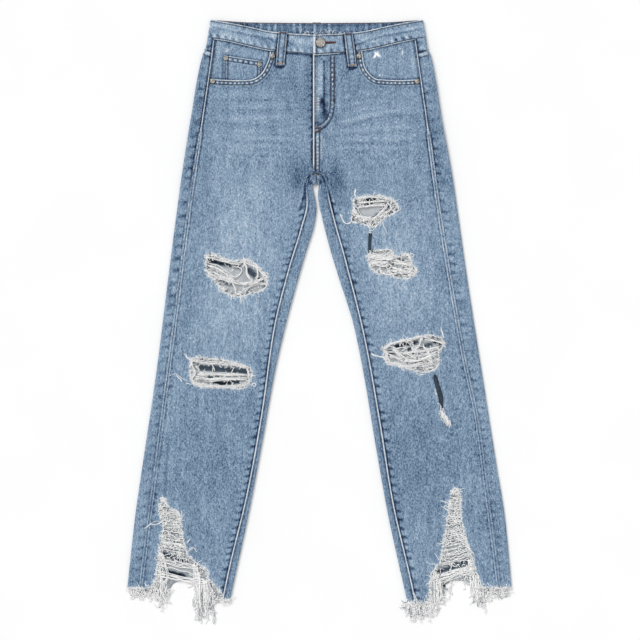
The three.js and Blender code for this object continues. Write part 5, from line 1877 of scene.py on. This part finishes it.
def build_seam_stitching():
    """A pale row on the back's side of each outseam."""
    rows = []
    for leg in LEGS.values():
        outer = curve_line(leg.outseam, -446, 440, leg.side * 3.6)
        rope = lambda x, y, leg=leg: front_height(y) + 0.3 + sizes().pucker / MM * seam_roping(leg, x, y)
        rows.append(stitch_row(outer, rope, 141, pitch=4.2, length=2.2, radius=0.26))
    thread_piece("stitches_long_seams", rows, thread("seam_thread", "seam_thread", 0.2))


def build_loop_stitching():
    """Two rows up each belt loop, a bar tack across each end of the front ones, and two on the fly."""
    rows, copper, rust = [], [], []
    for _, x, foot, lean in FRONT_LOOPS:
        surface = lambda px, py, f=foot: (HIP_TOP + GAP + LOOP["cloth"] - 0.15
                                          + LOOP["bow"] * np.sin(np.pi * np.clip((py - f) / 58, 0, 1)))
        for shift in (-4.5, 4.5):
            line = np.array([(x + shift, foot + 5.0), (x + shift + lean, foot + 54.0)])
            rows.append(stitch_row(line, surface, 151))
        for v, tacks in ((0.05, copper), (0.95, rust)):
            y, middle = foot + LOOP["length"] * v, x + lean * v
            tacks.append(bartack((middle - 5.0, y), (middle + 5.0, y), surface, 2.0, 152, -0.1))
    for _, x in BACK_LOOPS:
        for shift in (-4.2, 4.2):
            line = np.array([(x + shift, 455.0), (x + shift, 507.0)])
            rows.append(stitch_row(line, level_surface(0.05), 153, sink=-0.05, radius=0.3))
    for y in (329.0, 323.0):
        rust.append(bartack((-7.6, y), (2.0, y + 1.0), front_top, 2.4, 155, 0.3))
    thread_piece("stitches_belt_loops", rows, thread("topstitch", "topstitch"))
    for name, tacks in (("copper", copper), ("rust", rust)):
        thread_piece("bar_tacks_" + name, tacks, thread(name + "_thread", name))


# ---- Torn yarn ----


def along_line(points, steps):
    """The given number of points evenly spaced along a rounded line."""
    line = rounded(points, 6)
    return at_lengths(line, np.linspace(0, running_length(line)[-1], steps))


def bundle(points, count, spread, rng, steps=11):
    """A bundle of yarns along a given line: each is the line moved sideways by chance within the
    spread, slid along it a little, and waving by two sines of its own. Of more than 5 about half are laid.
    Returns their places and how far each lies above the surface."""
    line = along_line(points, steps)
    heading = headings_of(line)
    if count > 5:
        count = max(4, int(count * 0.48))
    s = np.linspace(0, 1, steps)[None]
    start = rng.uniform(-spread, spread, (count, 1))
    drift = rng.normal(0, 0.5 * spread + 0.2, (count, 1)) * (s - 0.5)
    size = rng.uniform(0.3, 1.3, (count, 1))
    wave = size * np.sin(2 * np.pi * (rng.uniform(0.7, 2.6, (count, 1)) * s + rng.uniform(0, 1, (count, 1))))
    turns = rng.uniform(3, 5, (count, 1)) * s + rng.uniform(0, 1, (count, 1))
    quick = 0.4 * size * np.sin(2 * np.pi * turns)
    shift = start + drift + (wave + quick) * (1.0 if count > 2 else 0.3)
    slide = rng.normal(0, 1.6 if count > 2 else 0.1, (count, 1)) * (1 + 0 * s)
    flat = line[None] + leftward(heading)[None] * shift[..., None] + heading[None] * slide[..., None]
    layer = rng.uniform(-1.0, 0.9, (count, 1))
    return flat, layer + 0.3 * np.sin(2 * np.pi * (s * 1.5 + rng.uniform(0, 1, (count, 1))))


def loose(starts, headings, lengths, rng, steps=7, curl=2.2):
    """Loose yarns: each sets out on its heading and turns at its own steady rate with small changes, so
    that its path is the running sum of its steps."""
    count = len(starts)
    turn = rng.normal(0, curl, (count, 1)) + rng.normal(0, 0.5, (count, steps - 1))
    angle = headings[:, None] + np.cumsum(turn / (steps - 1), axis=1)
    step = (lengths / (steps - 1))[:, None]
    moves = np.stack([np.cos(angle) * step, np.sin(angle) * step], -1)
    path = np.concatenate([np.zeros((count, 1, 2)), np.cumsum(moves, axis=1)], axis=1)
    return starts[:, None, :] + path


def edge_fray(ring, rng, density, reach, outward=1.0):
    """Loose yarn along a torn edge, in clumps: starts are scattered on the edge and thinned by noise, and set
    out slanting away from the hole or, for the share that outward leaves, into it."""
    closed = np.concatenate([ring, ring[:1]])
    length = running_length(closed)[-1]
    count = int(length * density)
    places = rng.uniform(0, length, count)
    places = places[noise(places / 5.0, 0 * places, 311) > rng.uniform(-1.0, 0.5, count)]
    count = len(places)
    starts = at_lengths(closed, places)
    way = steepest(lambda x, y: clearance(x, y, ring), *starts.T, 0.6)
    away = np.arctan2(way[:, 1], way[:, 0])
    inward = rng.random(count) > outward
    sideways = np.where(rng.random(count) < 0.5, 1.1, -1.1)
    headings = away + np.where(inward, np.pi, sideways) + rng.normal(0, 0.5, count)
    lengths = np.minimum(rng.gamma(3.0, reach / 3.0, count), 2.2 * reach)
    starts = starts - rng.uniform(-0.4, 1.8, (count, 1)) * np.stack([np.cos(away), np.sin(away)], -1)
    return loose(starts, headings, lengths, rng, 8, 4.2)


def fuzz(points, spread, density, rng, reach=5.5):
    """Short curled yarns scattered along a bundle's line and to both sides of it, on any heading."""
    line = along_line(points, 60)
    length = np.hypot(*np.diff(line, axis=0).T).sum()
    count = max(1, int(length * density))
    starts = line[rng.integers(0, len(line), count)] + rng.normal(0, 0.6 * spread + 0.3, (count, 2))
    lengths = np.minimum(rng.gamma(3.0, reach / 3.0, count), 2.4 * reach)
    return loose(starts, rng.uniform(0, 2 * np.pi, count), lengths, rng, 7, 3.2)


def lay_on_front(flat, layer):
    """Gives yarns their height: on the front's surface, layer mm above or below it."""
    return raised(flat, front_top(flat[..., 0], flat[..., 1]) + layer)


class Yarns:
    """The bare yarns of one piece, white with a share of greyer ones, and the chance that places them."""

    def __init__(self, seed):
        self.rng = np.random.default_rng(seed)
        self.parts = []
        self.kinds = []

    def lay(self, flat, low, high):
        """Lays yarns on the front, each from low to high mm above its surface."""
        return lay_on_front(flat, self.rng.uniform(low, high, (len(flat), 1)))

    def add(self, paths, thickness, grey, taper=1.0):
        """Adds yarns, each as thick as the usual one times a chance number between the two of thickness. The
        grey ones lie a little lower, and none goes below the table."""
        radii = sizes().yarn / MM * taper
        if thickness:
            radii = radii * self.rng.uniform(*thickness, (len(paths), 1))
        # The grey yarns are partly blue warp yarn and partly painted shade of yarn lying under the white.
        is_grey = self.rng.random(len(paths)) < grey
        paths = paths - np.array([0.0, 0.0, 0.25]) * is_grey[:, None, None]
        paths[..., 2] = np.maximum(paths[..., 2], 0.1 + radii)
        points, faces = tubes(paths, radii)
        self.parts.append((points, faces))
        self.kinds.append(np.repeat(is_grey, len(faces) // len(paths)))

    def finish(self, name, replaces=()):
        points, faces = merge(self.parts)
        materials = [thread("white_yarn", "yarn", 0.06, 0.9), thread("grey_yarn", "grey_yarn", 0.20, 0.9)]
        kinds = np.concatenate(self.kinds)
        make_piece(name, points, faces, materials, replaces, face_slots=kinds)


def build_tear(name, seed):
    """One rip's yarn: the listed bundles across it, curls along them and the fray round its edge."""
    side, index = RIP_OF[name]
    yarns = Yarns(seed)
    for points, count, spread in STRANDS[name]:
        paths = lay_on_front(*bundle(points, count, spread, yarns.rng))
        taper = np.ones(paths.shape[1])
        taper[[0, -1]] = 0.6
        yarns.add(paths, (0.9, 1.9), 0.10 if count > 5 else 0.0, taper)
        if count > 5:
            flat = fuzz(points, spread, 0.085 * count ** 0.7, yarns.rng)
            yarns.add(yarns.lay(flat, 0.3, 1.4), (0.8, 1.3), 0.10)
    flat = edge_fray(LEGS[side].rips[index], yarns.rng, 2.0, 0.85 * sizes().fray / MM, 0.75)
    paths = yarns.lay(flat, 0.35, 1.25)
    yarns.add(paths[slit_free(flat[:, 0, 0], flat[:, 0, 1]) > 0.6], (0.55, 1.15), 0.08)
    yarns.finish("yarn_" + name)


HEM_TEARS = {
    "right": {
        "left": [(-299, -267), (-308, -271), (-323, -272), (-338, -265), (-350, -264.5), (-371, -268),
                 (-391, -270), (-405, -272), (-422, -276), (-442, -281)],
        "right": [(-299, -264), (-308, -260), (-318, -252), (-325, -241), (-337, -237), (-354, -235),
                  (-371, -232), (-388, -228), (-396, -222), (-410, -212), (-418, -203), (-442, -190)],
        "top": -300.0, "foot": -392.0, "slope": -0.22, "seed": 211,
        "bands": [(-406, -416, 0.9), (-434, -441.5, 1.6), (-418, -432, 0.30), (-393, -405, 0.05)],
    },
    "left": {
        "left": [(-282, 229), (-296, 224.5), (-311, 222), (-328, 220), (-340, 217), (-362, 213), (-379, 210.5),
                 (-396, 208), (-413, 204), (-430, 195), (-447, 188)],
        "right": [(-282, 233), (-294, 237), (-311, 239), (-328, 240), (-345, 242), (-362, 246), (-379, 251),
                  (-396, 256), (-408, 259), (-422, 263), (-447, 272)],
        "top": -283.0, "foot": -408.0, "slope": 0.30, "seed": 223,
        "bands": [(-408, -421, 0.06), (-422, -436, 1.9), (-437, -441, 0.25)],
    },
}


def ladder(tear, rng):
    """Bare weft across a torn hem: yarns from its left edge to its right one, one above the other, sagging
    and tilting more towards the hem. Each band below gives a stretch its own share of yarns."""
    left, right = smooth(tear["left"]), smooth(tear["right"])
    heights = [np.arange(tear["top"], tear["foot"], -2.3)]
    for top, foot, share in tear["bands"]:
        count = int(abs(top - foot) * 0.55 * share)
        heights.append(rng.uniform(foot, top, count))
    y = np.concatenate(heights)
    y = y + rng.normal(0, 0.45, len(y))
    s = np.linspace(0, 1, 13)[None]
    start, end = left(y) - 1.5, right(y) + 1.5
    tilt = tear["slope"] * rise(-y, -tear["top"], -tear["foot"]) + rng.normal(0, 0.03, len(y))
    x = start[:, None] * (1 - s) + end[:, None] * s
    sag = rng.normal(0.4, 1.3, (len(y), 1)) * np.sin(np.pi * s)
    wave = rng.uniform(0.4, 1.4, (len(y), 1)) * np.sin(
        2 * np.pi * (s * rng.uniform(1, 4.5, (len(y), 1)) + rng.random((len(y), 1))))
    height = y[:, None] + tilt[:, None] * (x - (start + end)[:, None] / 2) - sag + wave
    return np.stack([x, height], -1)


def ladder_fuzz(tear, rng, count):
    """Curls caught in the ladder: scattered over it, mostly lying across."""
    left, right = smooth(tear["left"]), smooth(tear["right"])
    y = rng.uniform(tear["foot"], tear["top"], count)
    low = rng.random(count) < 0.22
    y[low] = rng.uniform(tear["bands"][-1][1], tear["foot"], low.sum())
    s = rng.uniform(-0.08, 1.08, count)
    starts = np.stack([left(y) * (1 - s) + right(y) * s, y], -1)
    headings = rng.normal(0, 0.9, count) + np.where(rng.random(count) < 0.5, 0, np.pi)
    return loose(starts, headings, rng.gamma(4.0, 1.9, count), rng, 8, 2.6)


# Hanging tufts: (root, tip, half width at the root, half width at the tip, how many).
TUFTS = {
    "right": [
        ((-318, -447), (-321, -468), 4, 5, 26), ((-306, -449), (-308, -472), 6, 7, 34),
        ((-293, -449), (-291, -470), 6, 6, 34), ((-284, -440), (-281, -470), 5, 6, 34),
        ((-276, -415), (-272, -482), 5, 9, 44), ((-270, -395), (-270, -450), 3, 5, 26),
        ((-266, -440), (-262, -480), 6, 7, 34), ((-272, -455), (-270, -494), 4, 3, 18),
        ((-262, -455), (-256, -484), 4, 4, 16), ((-212, -412), (-206, -474), 4, 6, 40),
        ((-205, -425), (-209, -500), 6, 8, 52), ((-199, -440), (-196, -510), 7, 9, 60),
        ((-191, -440), (-186, -506), 6, 7, 48), ((-184, -452), (-181, -484), 6, 5, 30),
        ((-172, -466), (-174, -480), 5, 6, 16), ((-158, -472), (-156, -478), 4, 4, 8),
    ],
    "left": [
        ((152, -472), (151, -500), 4, 6, 34), ((163, -473), (163, -508), 7, 9, 52),
        ((176, -474), (176, -505), 7, 8, 46), ((186, -462), (187, -504), 5, 7, 44),
        ((190, -430), (190, -490), 4, 6, 44), ((196, -425), (201, -500), 4, 7, 38),
        ((205, -440), (212, -488), 3, 4, 18), ((222, -436), (217, -470), 3, 4, 14),
        ((256, -405), (266, -462), 3, 6, 44), ((266, -432), (268, -484), 5, 9, 46),
        ((274, -446), (276, -490), 5, 8, 44), ((286, -447), (288, -474), 6, 6, 32),
        ((299, -448), (302, -470), 6, 7, 34), ((313, -447), (317, -468), 5, 6, 32),
        ((250, -425), (247, -462), 2, 4, 10),
    ],
}
HEM_LOOSE = {
    "right": [([(-264, -338), (-279, -345), (-287, -344), (-296, -352)], 2, 0.5),
              ([(-262, -340), (-280, -339), (-292, -347), (-299, -351)], 1, 0.0),
              ([(-226, -375), (-221, -370)], 3, 0.8), ([(-224, -390), (-216, -384), (-208, -390)], 3, 1.0),
              ([(-268, -392), (-262, -410), (-258, -432), (-262, -445)], 16, 2.2),
              ([(-190, -442), (-183, -455), (-186, -468), (-192, -456)], 3, 1.4)],
    "left": [([(224, -312), (214, -306), (206, -304)], 2, 0.5),
             ([(222, -318), (214, -312), (212, -318)], 2, 0.6),
             ([(217, -372), (205, -378), (198, -381)], 1, 0.0),
             ([(240, -360), (252, -378), (256, -392)], 5, 1.6),
             ([(249, -378), (258, -390), (262, -394)], 3, 0.8),
             ([(228, -355), (240, -370), (250, -380)], 6, 2.0),
             ([(160, -462), (167, -478), (158, -484), (152, -474)], 3, 1.4)],
}


def build_hem(name):
    """One hem's yarn: the ladder across the tear, its hanging tufts and the fray along the hem."""
    leg, tear = LEGS[name], HEM_TEARS[name]
    yarns = Yarns(tear["seed"])
    rng = yarns.rng
    yarns.add(yarns.lay(ladder(tear, rng), -1.5, 0.3), (1.0, 2.1), 0.10)
    yarns.add(yarns.lay(ladder_fuzz(tear, rng, 260), -0.6, 1.0), (0.8, 1.7), 0.12)
    for points, count, spread in HEM_LOOSE[name]:
        flat, layer = bundle(points, count, spread, rng)
        yarns.add(lay_on_front(flat, 0.4 + 0.6 * layer), None, 0.0)
    for shape in TUFTS[name]:
        paths = tuft(*shape, rng)
        yarns.add(paths, (1.1, 2.3), 0.10, np.linspace(1, 0.8, paths.shape[1]))
    edge = rounded(HEMS["front_" + name], 3)
    flat = edge_fray(leg.front_hem, rng, 1.6, 6.0, 0.6)
    x, y = flat[:, 0].T
    keep = (flat[:, :, 1].min(axis=1) > -500) & (line_distance(x, y, edge) < 2)
    keep &= (np.abs(x) < np.abs(leg.fold(-452)) - 2) & (np.abs(x) > np.abs(leg.inner(-470)) + 2)
    yarns.add(yarns.lay(flat[keep], 0.3, 1.1), (0.6, 1.2), 0.12)
    yarns.finish("yarn_hem_" + name, ["fringe_" + name])


def tuft(root, tip, root_half, tip_half, count, rng, steps=12):
    """A tuft's yarns: some fan from beside the root to beside the tip and snake more and more, the others
    start anywhere in it and curl back on themselves, more of them on a short tuft. All sink towards the
    table."""
    drop = np.hypot(tip[0] - root[0], tip[1] - root[1])
    short = 1 - rise(np.array(drop), 26.0, 44.0)
    fan = int(count * (0.30 - 0.20 * short))
    s = np.linspace(0, 1, steps)[None]
    across = rng.uniform(-1, 1, (fan, 1))
    length = np.clip(rng.normal(0.80, 0.22, (fan, 1)), 0.3, 1.1)
    way = length * np.sin(s * np.pi / 2 * rng.uniform(1.0, 1.7, (fan, 1)))
    x = root[0] + (tip[0] - root[0]) * way + across * (root_half + (tip_half - root_half) * way)
    y = root[1] + (tip[1] - root[1]) * way + rng.normal(0, 1.3, (fan, 1))
    waves = rng.uniform(0.8, 3.0, (fan, 1))
    size = rng.uniform(1.5, 4.6, (fan, 1))
    x = x + size * s * np.sin(2 * np.pi * (s * waves + rng.random((fan, 1))))
    y = y + 0.9 * size * s * np.sin(2 * np.pi * (s * waves + rng.random((fan, 1))))
    curls = int(count * (0.34 + 0.36 * short))
    place = rng.uniform(0.0, 0.85, curls)
    half = (root_half + (tip_half - root_half) * place) * (1 + 0.4 * short)
    starts = np.stack([root[0] + (tip[0] - root[0]) * place + rng.uniform(-1, 1, curls) * half,
                       root[1] + (tip[1] - root[1]) * place], -1)
    down = np.arctan2(tip[1] - root[1], tip[0] - root[0])
    lengths = rng.uniform(5, 17 - 3 * short, curls)
    loops = loose(starts, down + rng.normal(0, 0.9 + 0.9 * short, curls), lengths, rng, steps, 3.8)
    low = tip[1] - 3.0 + rng.uniform(-2.0, 7.0, (curls, 1)) * short
    loops[..., 1] = np.where(loops[..., 1] < low, 2 * low - loops[..., 1], loops[..., 1])
    flat = np.concatenate([np.stack([x, y], -1), loops])
    top = LEG_TOP + 0.2 + rng.uniform(-2.0, 0.5, (len(flat), 1))
    reached = np.clip((root[1] - flat[..., 1]) / 16.0, 0, 1)
    z = top + (rng.uniform(0.6, 4.0, (len(flat), 1)) - top) * reached
    return raised(flat, z)


def build_waist_yarn():
    """White overlock yarn that shows behind the button, inside the back of the band."""
    rng = np.random.default_rng(301)
    starts = np.stack([rng.uniform(-33, 42, 30), rng.uniform(488, 493, 30)], -1)
    flat = loose(starts, rng.uniform(0.2, 2.9, 30), rng.uniform(4, 9, 30), rng, 8, 3.4)
    flat[..., 1] = np.minimum(flat[..., 1], 499)
    z = SEAT_LIFT + BAND_CLOTH + 0.9 + rng.uniform(0, 0.8, (30, 1)) + 0 * flat[..., 0]
    points, faces = tubes(raised(flat, z), 0.26)
    make_piece("yarn_waist", points, faces, [thread("white_yarn", "yarn", 0.06, 0.9)])


# ---- Stage ----


def build_stage():
    """A plain pale floor, a wide soft light from the upper left, an even pale surround, and the camera
    straight above."""
    half, low = 4.0, -0.0003
    mesh = bpy.data.meshes.new("floor")
    mesh.from_pydata([(-half, -half, low), (half, -half, low), (half, half, low), (-half, half, low)], [],
                     [(0, 1, 2, 3)])
    floor = bpy.data.objects.new("floor", mesh)
    bpy.context.scene.collection.objects.link(floor)
    mesh.materials.append(once("floor_paint", shade_floor))

    world = bpy.data.worlds.new("surround")
    bpy.context.scene.world = world
    world.use_nodes = True
    world.node_tree.nodes["Background"].inputs["Color"].default_value = (1.0, 1.0, 1.0, 1.0)
    world.node_tree.nodes["Background"].inputs["Strength"].default_value = 0.69

    lamp = bpy.data.lights.new("key_light", "SUN")
    lamp.angle = 0.5
    lamp.energy = 1.6
    key_light = bpy.data.objects.new("key_light", lamp)
    bpy.context.scene.collection.objects.link(key_light)
    key_light.location = (-1.5, 1.6, 2.0)
    key_light.rotation_euler = key_light.location.to_track_quat("Z", "Y").to_euler()

    camera = bpy.data.objects.new("camera", bpy.data.cameras.new("camera"))
    bpy.context.scene.collection.objects.link(camera)
    distance, seen = 3.2, 1.088
    camera.data.sensor_width = 36.0
    camera.data.lens = 36.0 * distance / seen
    camera.data.clip_end = 20.0
    camera.location = (0.00085, 0.0034, distance + 0.005)
    bpy.context.scene.camera = camera
    bpy.context.scene.view_settings.view_transform = "Standard"


# ---- Operators: one for each piece or group of like pieces ----


class StageOperator(bpy.types.Operator):
    """Add the floor, the lights and the camera"""

    bl_idname = "jeans.stage"
    bl_label = "Stage"

    def execute(self, context):
        build_stage()
        return {"FINISHED"}


class BackPocketsOperator(bpy.types.Operator):
    """Add the two back pockets, which lie on the table"""

    bl_idname = "jeans.back_pockets"
    bl_label = "Back pockets"

    def execute(self, context):
        build_back_pocket(-1, "right")
        build_back_pocket(1, "left")
        return {"FINISHED"}


class BackPanelsOperator(bpy.types.Operator):
    """Add the back panels and the yokes, which wrap round both edges of each leg"""

    bl_idname = "jeans.back_panels"
    bl_label = "Back panels and yokes"

    def execute(self, context):
        for leg in LEGS.values():
            build_back(leg)
            build_yoke(leg)
        return {"FINISHED"}


class FrontPanelsOperator(bpy.types.Operator):
    """Add the two front panels with their rips, torn hems and pocket mouths"""

    bl_idname = "jeans.front_panels"
    bl_label = "Front panels"

    def execute(self, context):
        for leg in LEGS.values():
            build_front(leg)
            build_mouth_hem(leg)
        return {"FINISHED"}


class SeamsOperator(bpy.types.Operator):
    """Add the raised seams down the legs and at the crotch"""

    bl_idname = "jeans.seams"
    bl_label = "Seams"

    def execute(self, context):
        for leg in LEGS.values():
            build_seams(leg)
        build_crotch()
        return {"FINISHED"}


class FrontPocketsOperator(bpy.types.Operator):
    """Add the pocket facings and the coin pocket"""

    bl_idname = "jeans.front_pockets"
    bl_label = "Front pockets"

    def execute(self, context):
        for leg in LEGS.values():
            build_facing(leg)
        build_coin_pocket()
        return {"FINISHED"}


class WaistbandOperator(bpy.types.Operator):
    """Add the waistband with its overlapping end"""

    bl_idname = "jeans.waistband"
    bl_label = "Waistband"

    def execute(self, context):
        build_waistband()
        return {"FINISHED"}


class BeltLoopsOperator(bpy.types.Operator):
    """Add the two front and three back belt loops"""

    bl_idname = "jeans.belt_loops"
    bl_label = "Belt loops"

    def execute(self, context):
        build_loops()
        return {"FINISHED"}


class FittingsOperator(bpy.types.Operator):
    """Add the button, the six rivets and the closed zip"""

    bl_idname = "jeans.fittings"
    bl_label = "Button, rivets and zip"

    def execute(self, context):
        build_button()
        build_rivets()
        build_zip()
        return {"FINISHED"}


class StitchingOperator(bpy.types.Operator):
    """Add every row of stitches and every bar tack"""

    bl_idname = "jeans.stitching"
    bl_label = "Stitching"

    def execute(self, context):
        build_waist_stitching()
        build_pocket_stitching()
        build_fly_stitching()
        build_yoke_stitching()
        build_seam_stitching()
        build_loop_stitching()
        return {"FINISHED"}


class TearsOperator(bpy.types.Operator):
    """Add the bare yarn in the rips and inside the waist"""

    bl_idname = "jeans.tears"
    bl_label = "Torn yarn"

    def execute(self, context):
        for number, name in enumerate(STRANDS):
            build_tear(name, 401 + number)
        build_waist_yarn()
        return {"FINISHED"}


class HemsOperator(bpy.types.Operator):
    """Add the ladders and fringes of both torn hems"""

    bl_idname = "jeans.hems"
    bl_label = "Torn hems"

    def execute(self, context):
        for name, leg in LEGS.items():
            build_hem(name)
        return {"FINISHED"}


OPERATORS = (StageOperator, BackPocketsOperator, BackPanelsOperator, FrontPanelsOperator, SeamsOperator,
             FrontPocketsOperator, WaistbandOperator, BeltLoopsOperator, FittingsOperator, StitchingOperator,
             TearsOperator, HemsOperator)


class JeansPanel(bpy.types.Panel):
    """Sidebar panel with the sizes, the colours and a button for each group of pieces"""

    bl_idname = "VIEW3D_PT_ripped_jeans"
    bl_label = "Ripped jeans"
    bl_space_type = "VIEW_3D"
    bl_region_type = "UI"
    bl_category = "Jeans"

    def draw(self, context):
        for group in (context.scene.jeans_sizes, context.scene.jeans_colours):
            box = self.layout.box()
            for name in group.__annotations__:
                box.prop(group, name)
        for operator in OPERATORS:
            self.layout.operator(operator.bl_idname)


CLASSES = (JeansSizes, JeansColours, *OPERATORS, JeansPanel)


def register():
    for item in CLASSES:
        bpy.utils.register_class(item)
    bpy.types.Scene.jeans_sizes = bpy.props.PointerProperty(type=JeansSizes)
    bpy.types.Scene.jeans_colours = bpy.props.PointerProperty(type=JeansColours)


def unregister():
    del bpy.types.Scene.jeans_colours
    del bpy.types.Scene.jeans_sizes
    for item in reversed(CLASSES):
        bpy.utils.unregister_class(item)


def main():
    """Registers the add-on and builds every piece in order."""
    register()
    bpy.ops.jeans.stage()
    bpy.ops.jeans.back_pockets()
    bpy.ops.jeans.back_panels()
    bpy.ops.jeans.front_panels()
    bpy.ops.jeans.seams()
    bpy.ops.jeans.front_pockets()
    bpy.ops.jeans.waistband()
    bpy.ops.jeans.belt_loops()
    bpy.ops.jeans.fittings()
    bpy.ops.jeans.stitching()
    bpy.ops.jeans.tears()
    bpy.ops.jeans.hems()


if __name__ == "__main__":
    main()
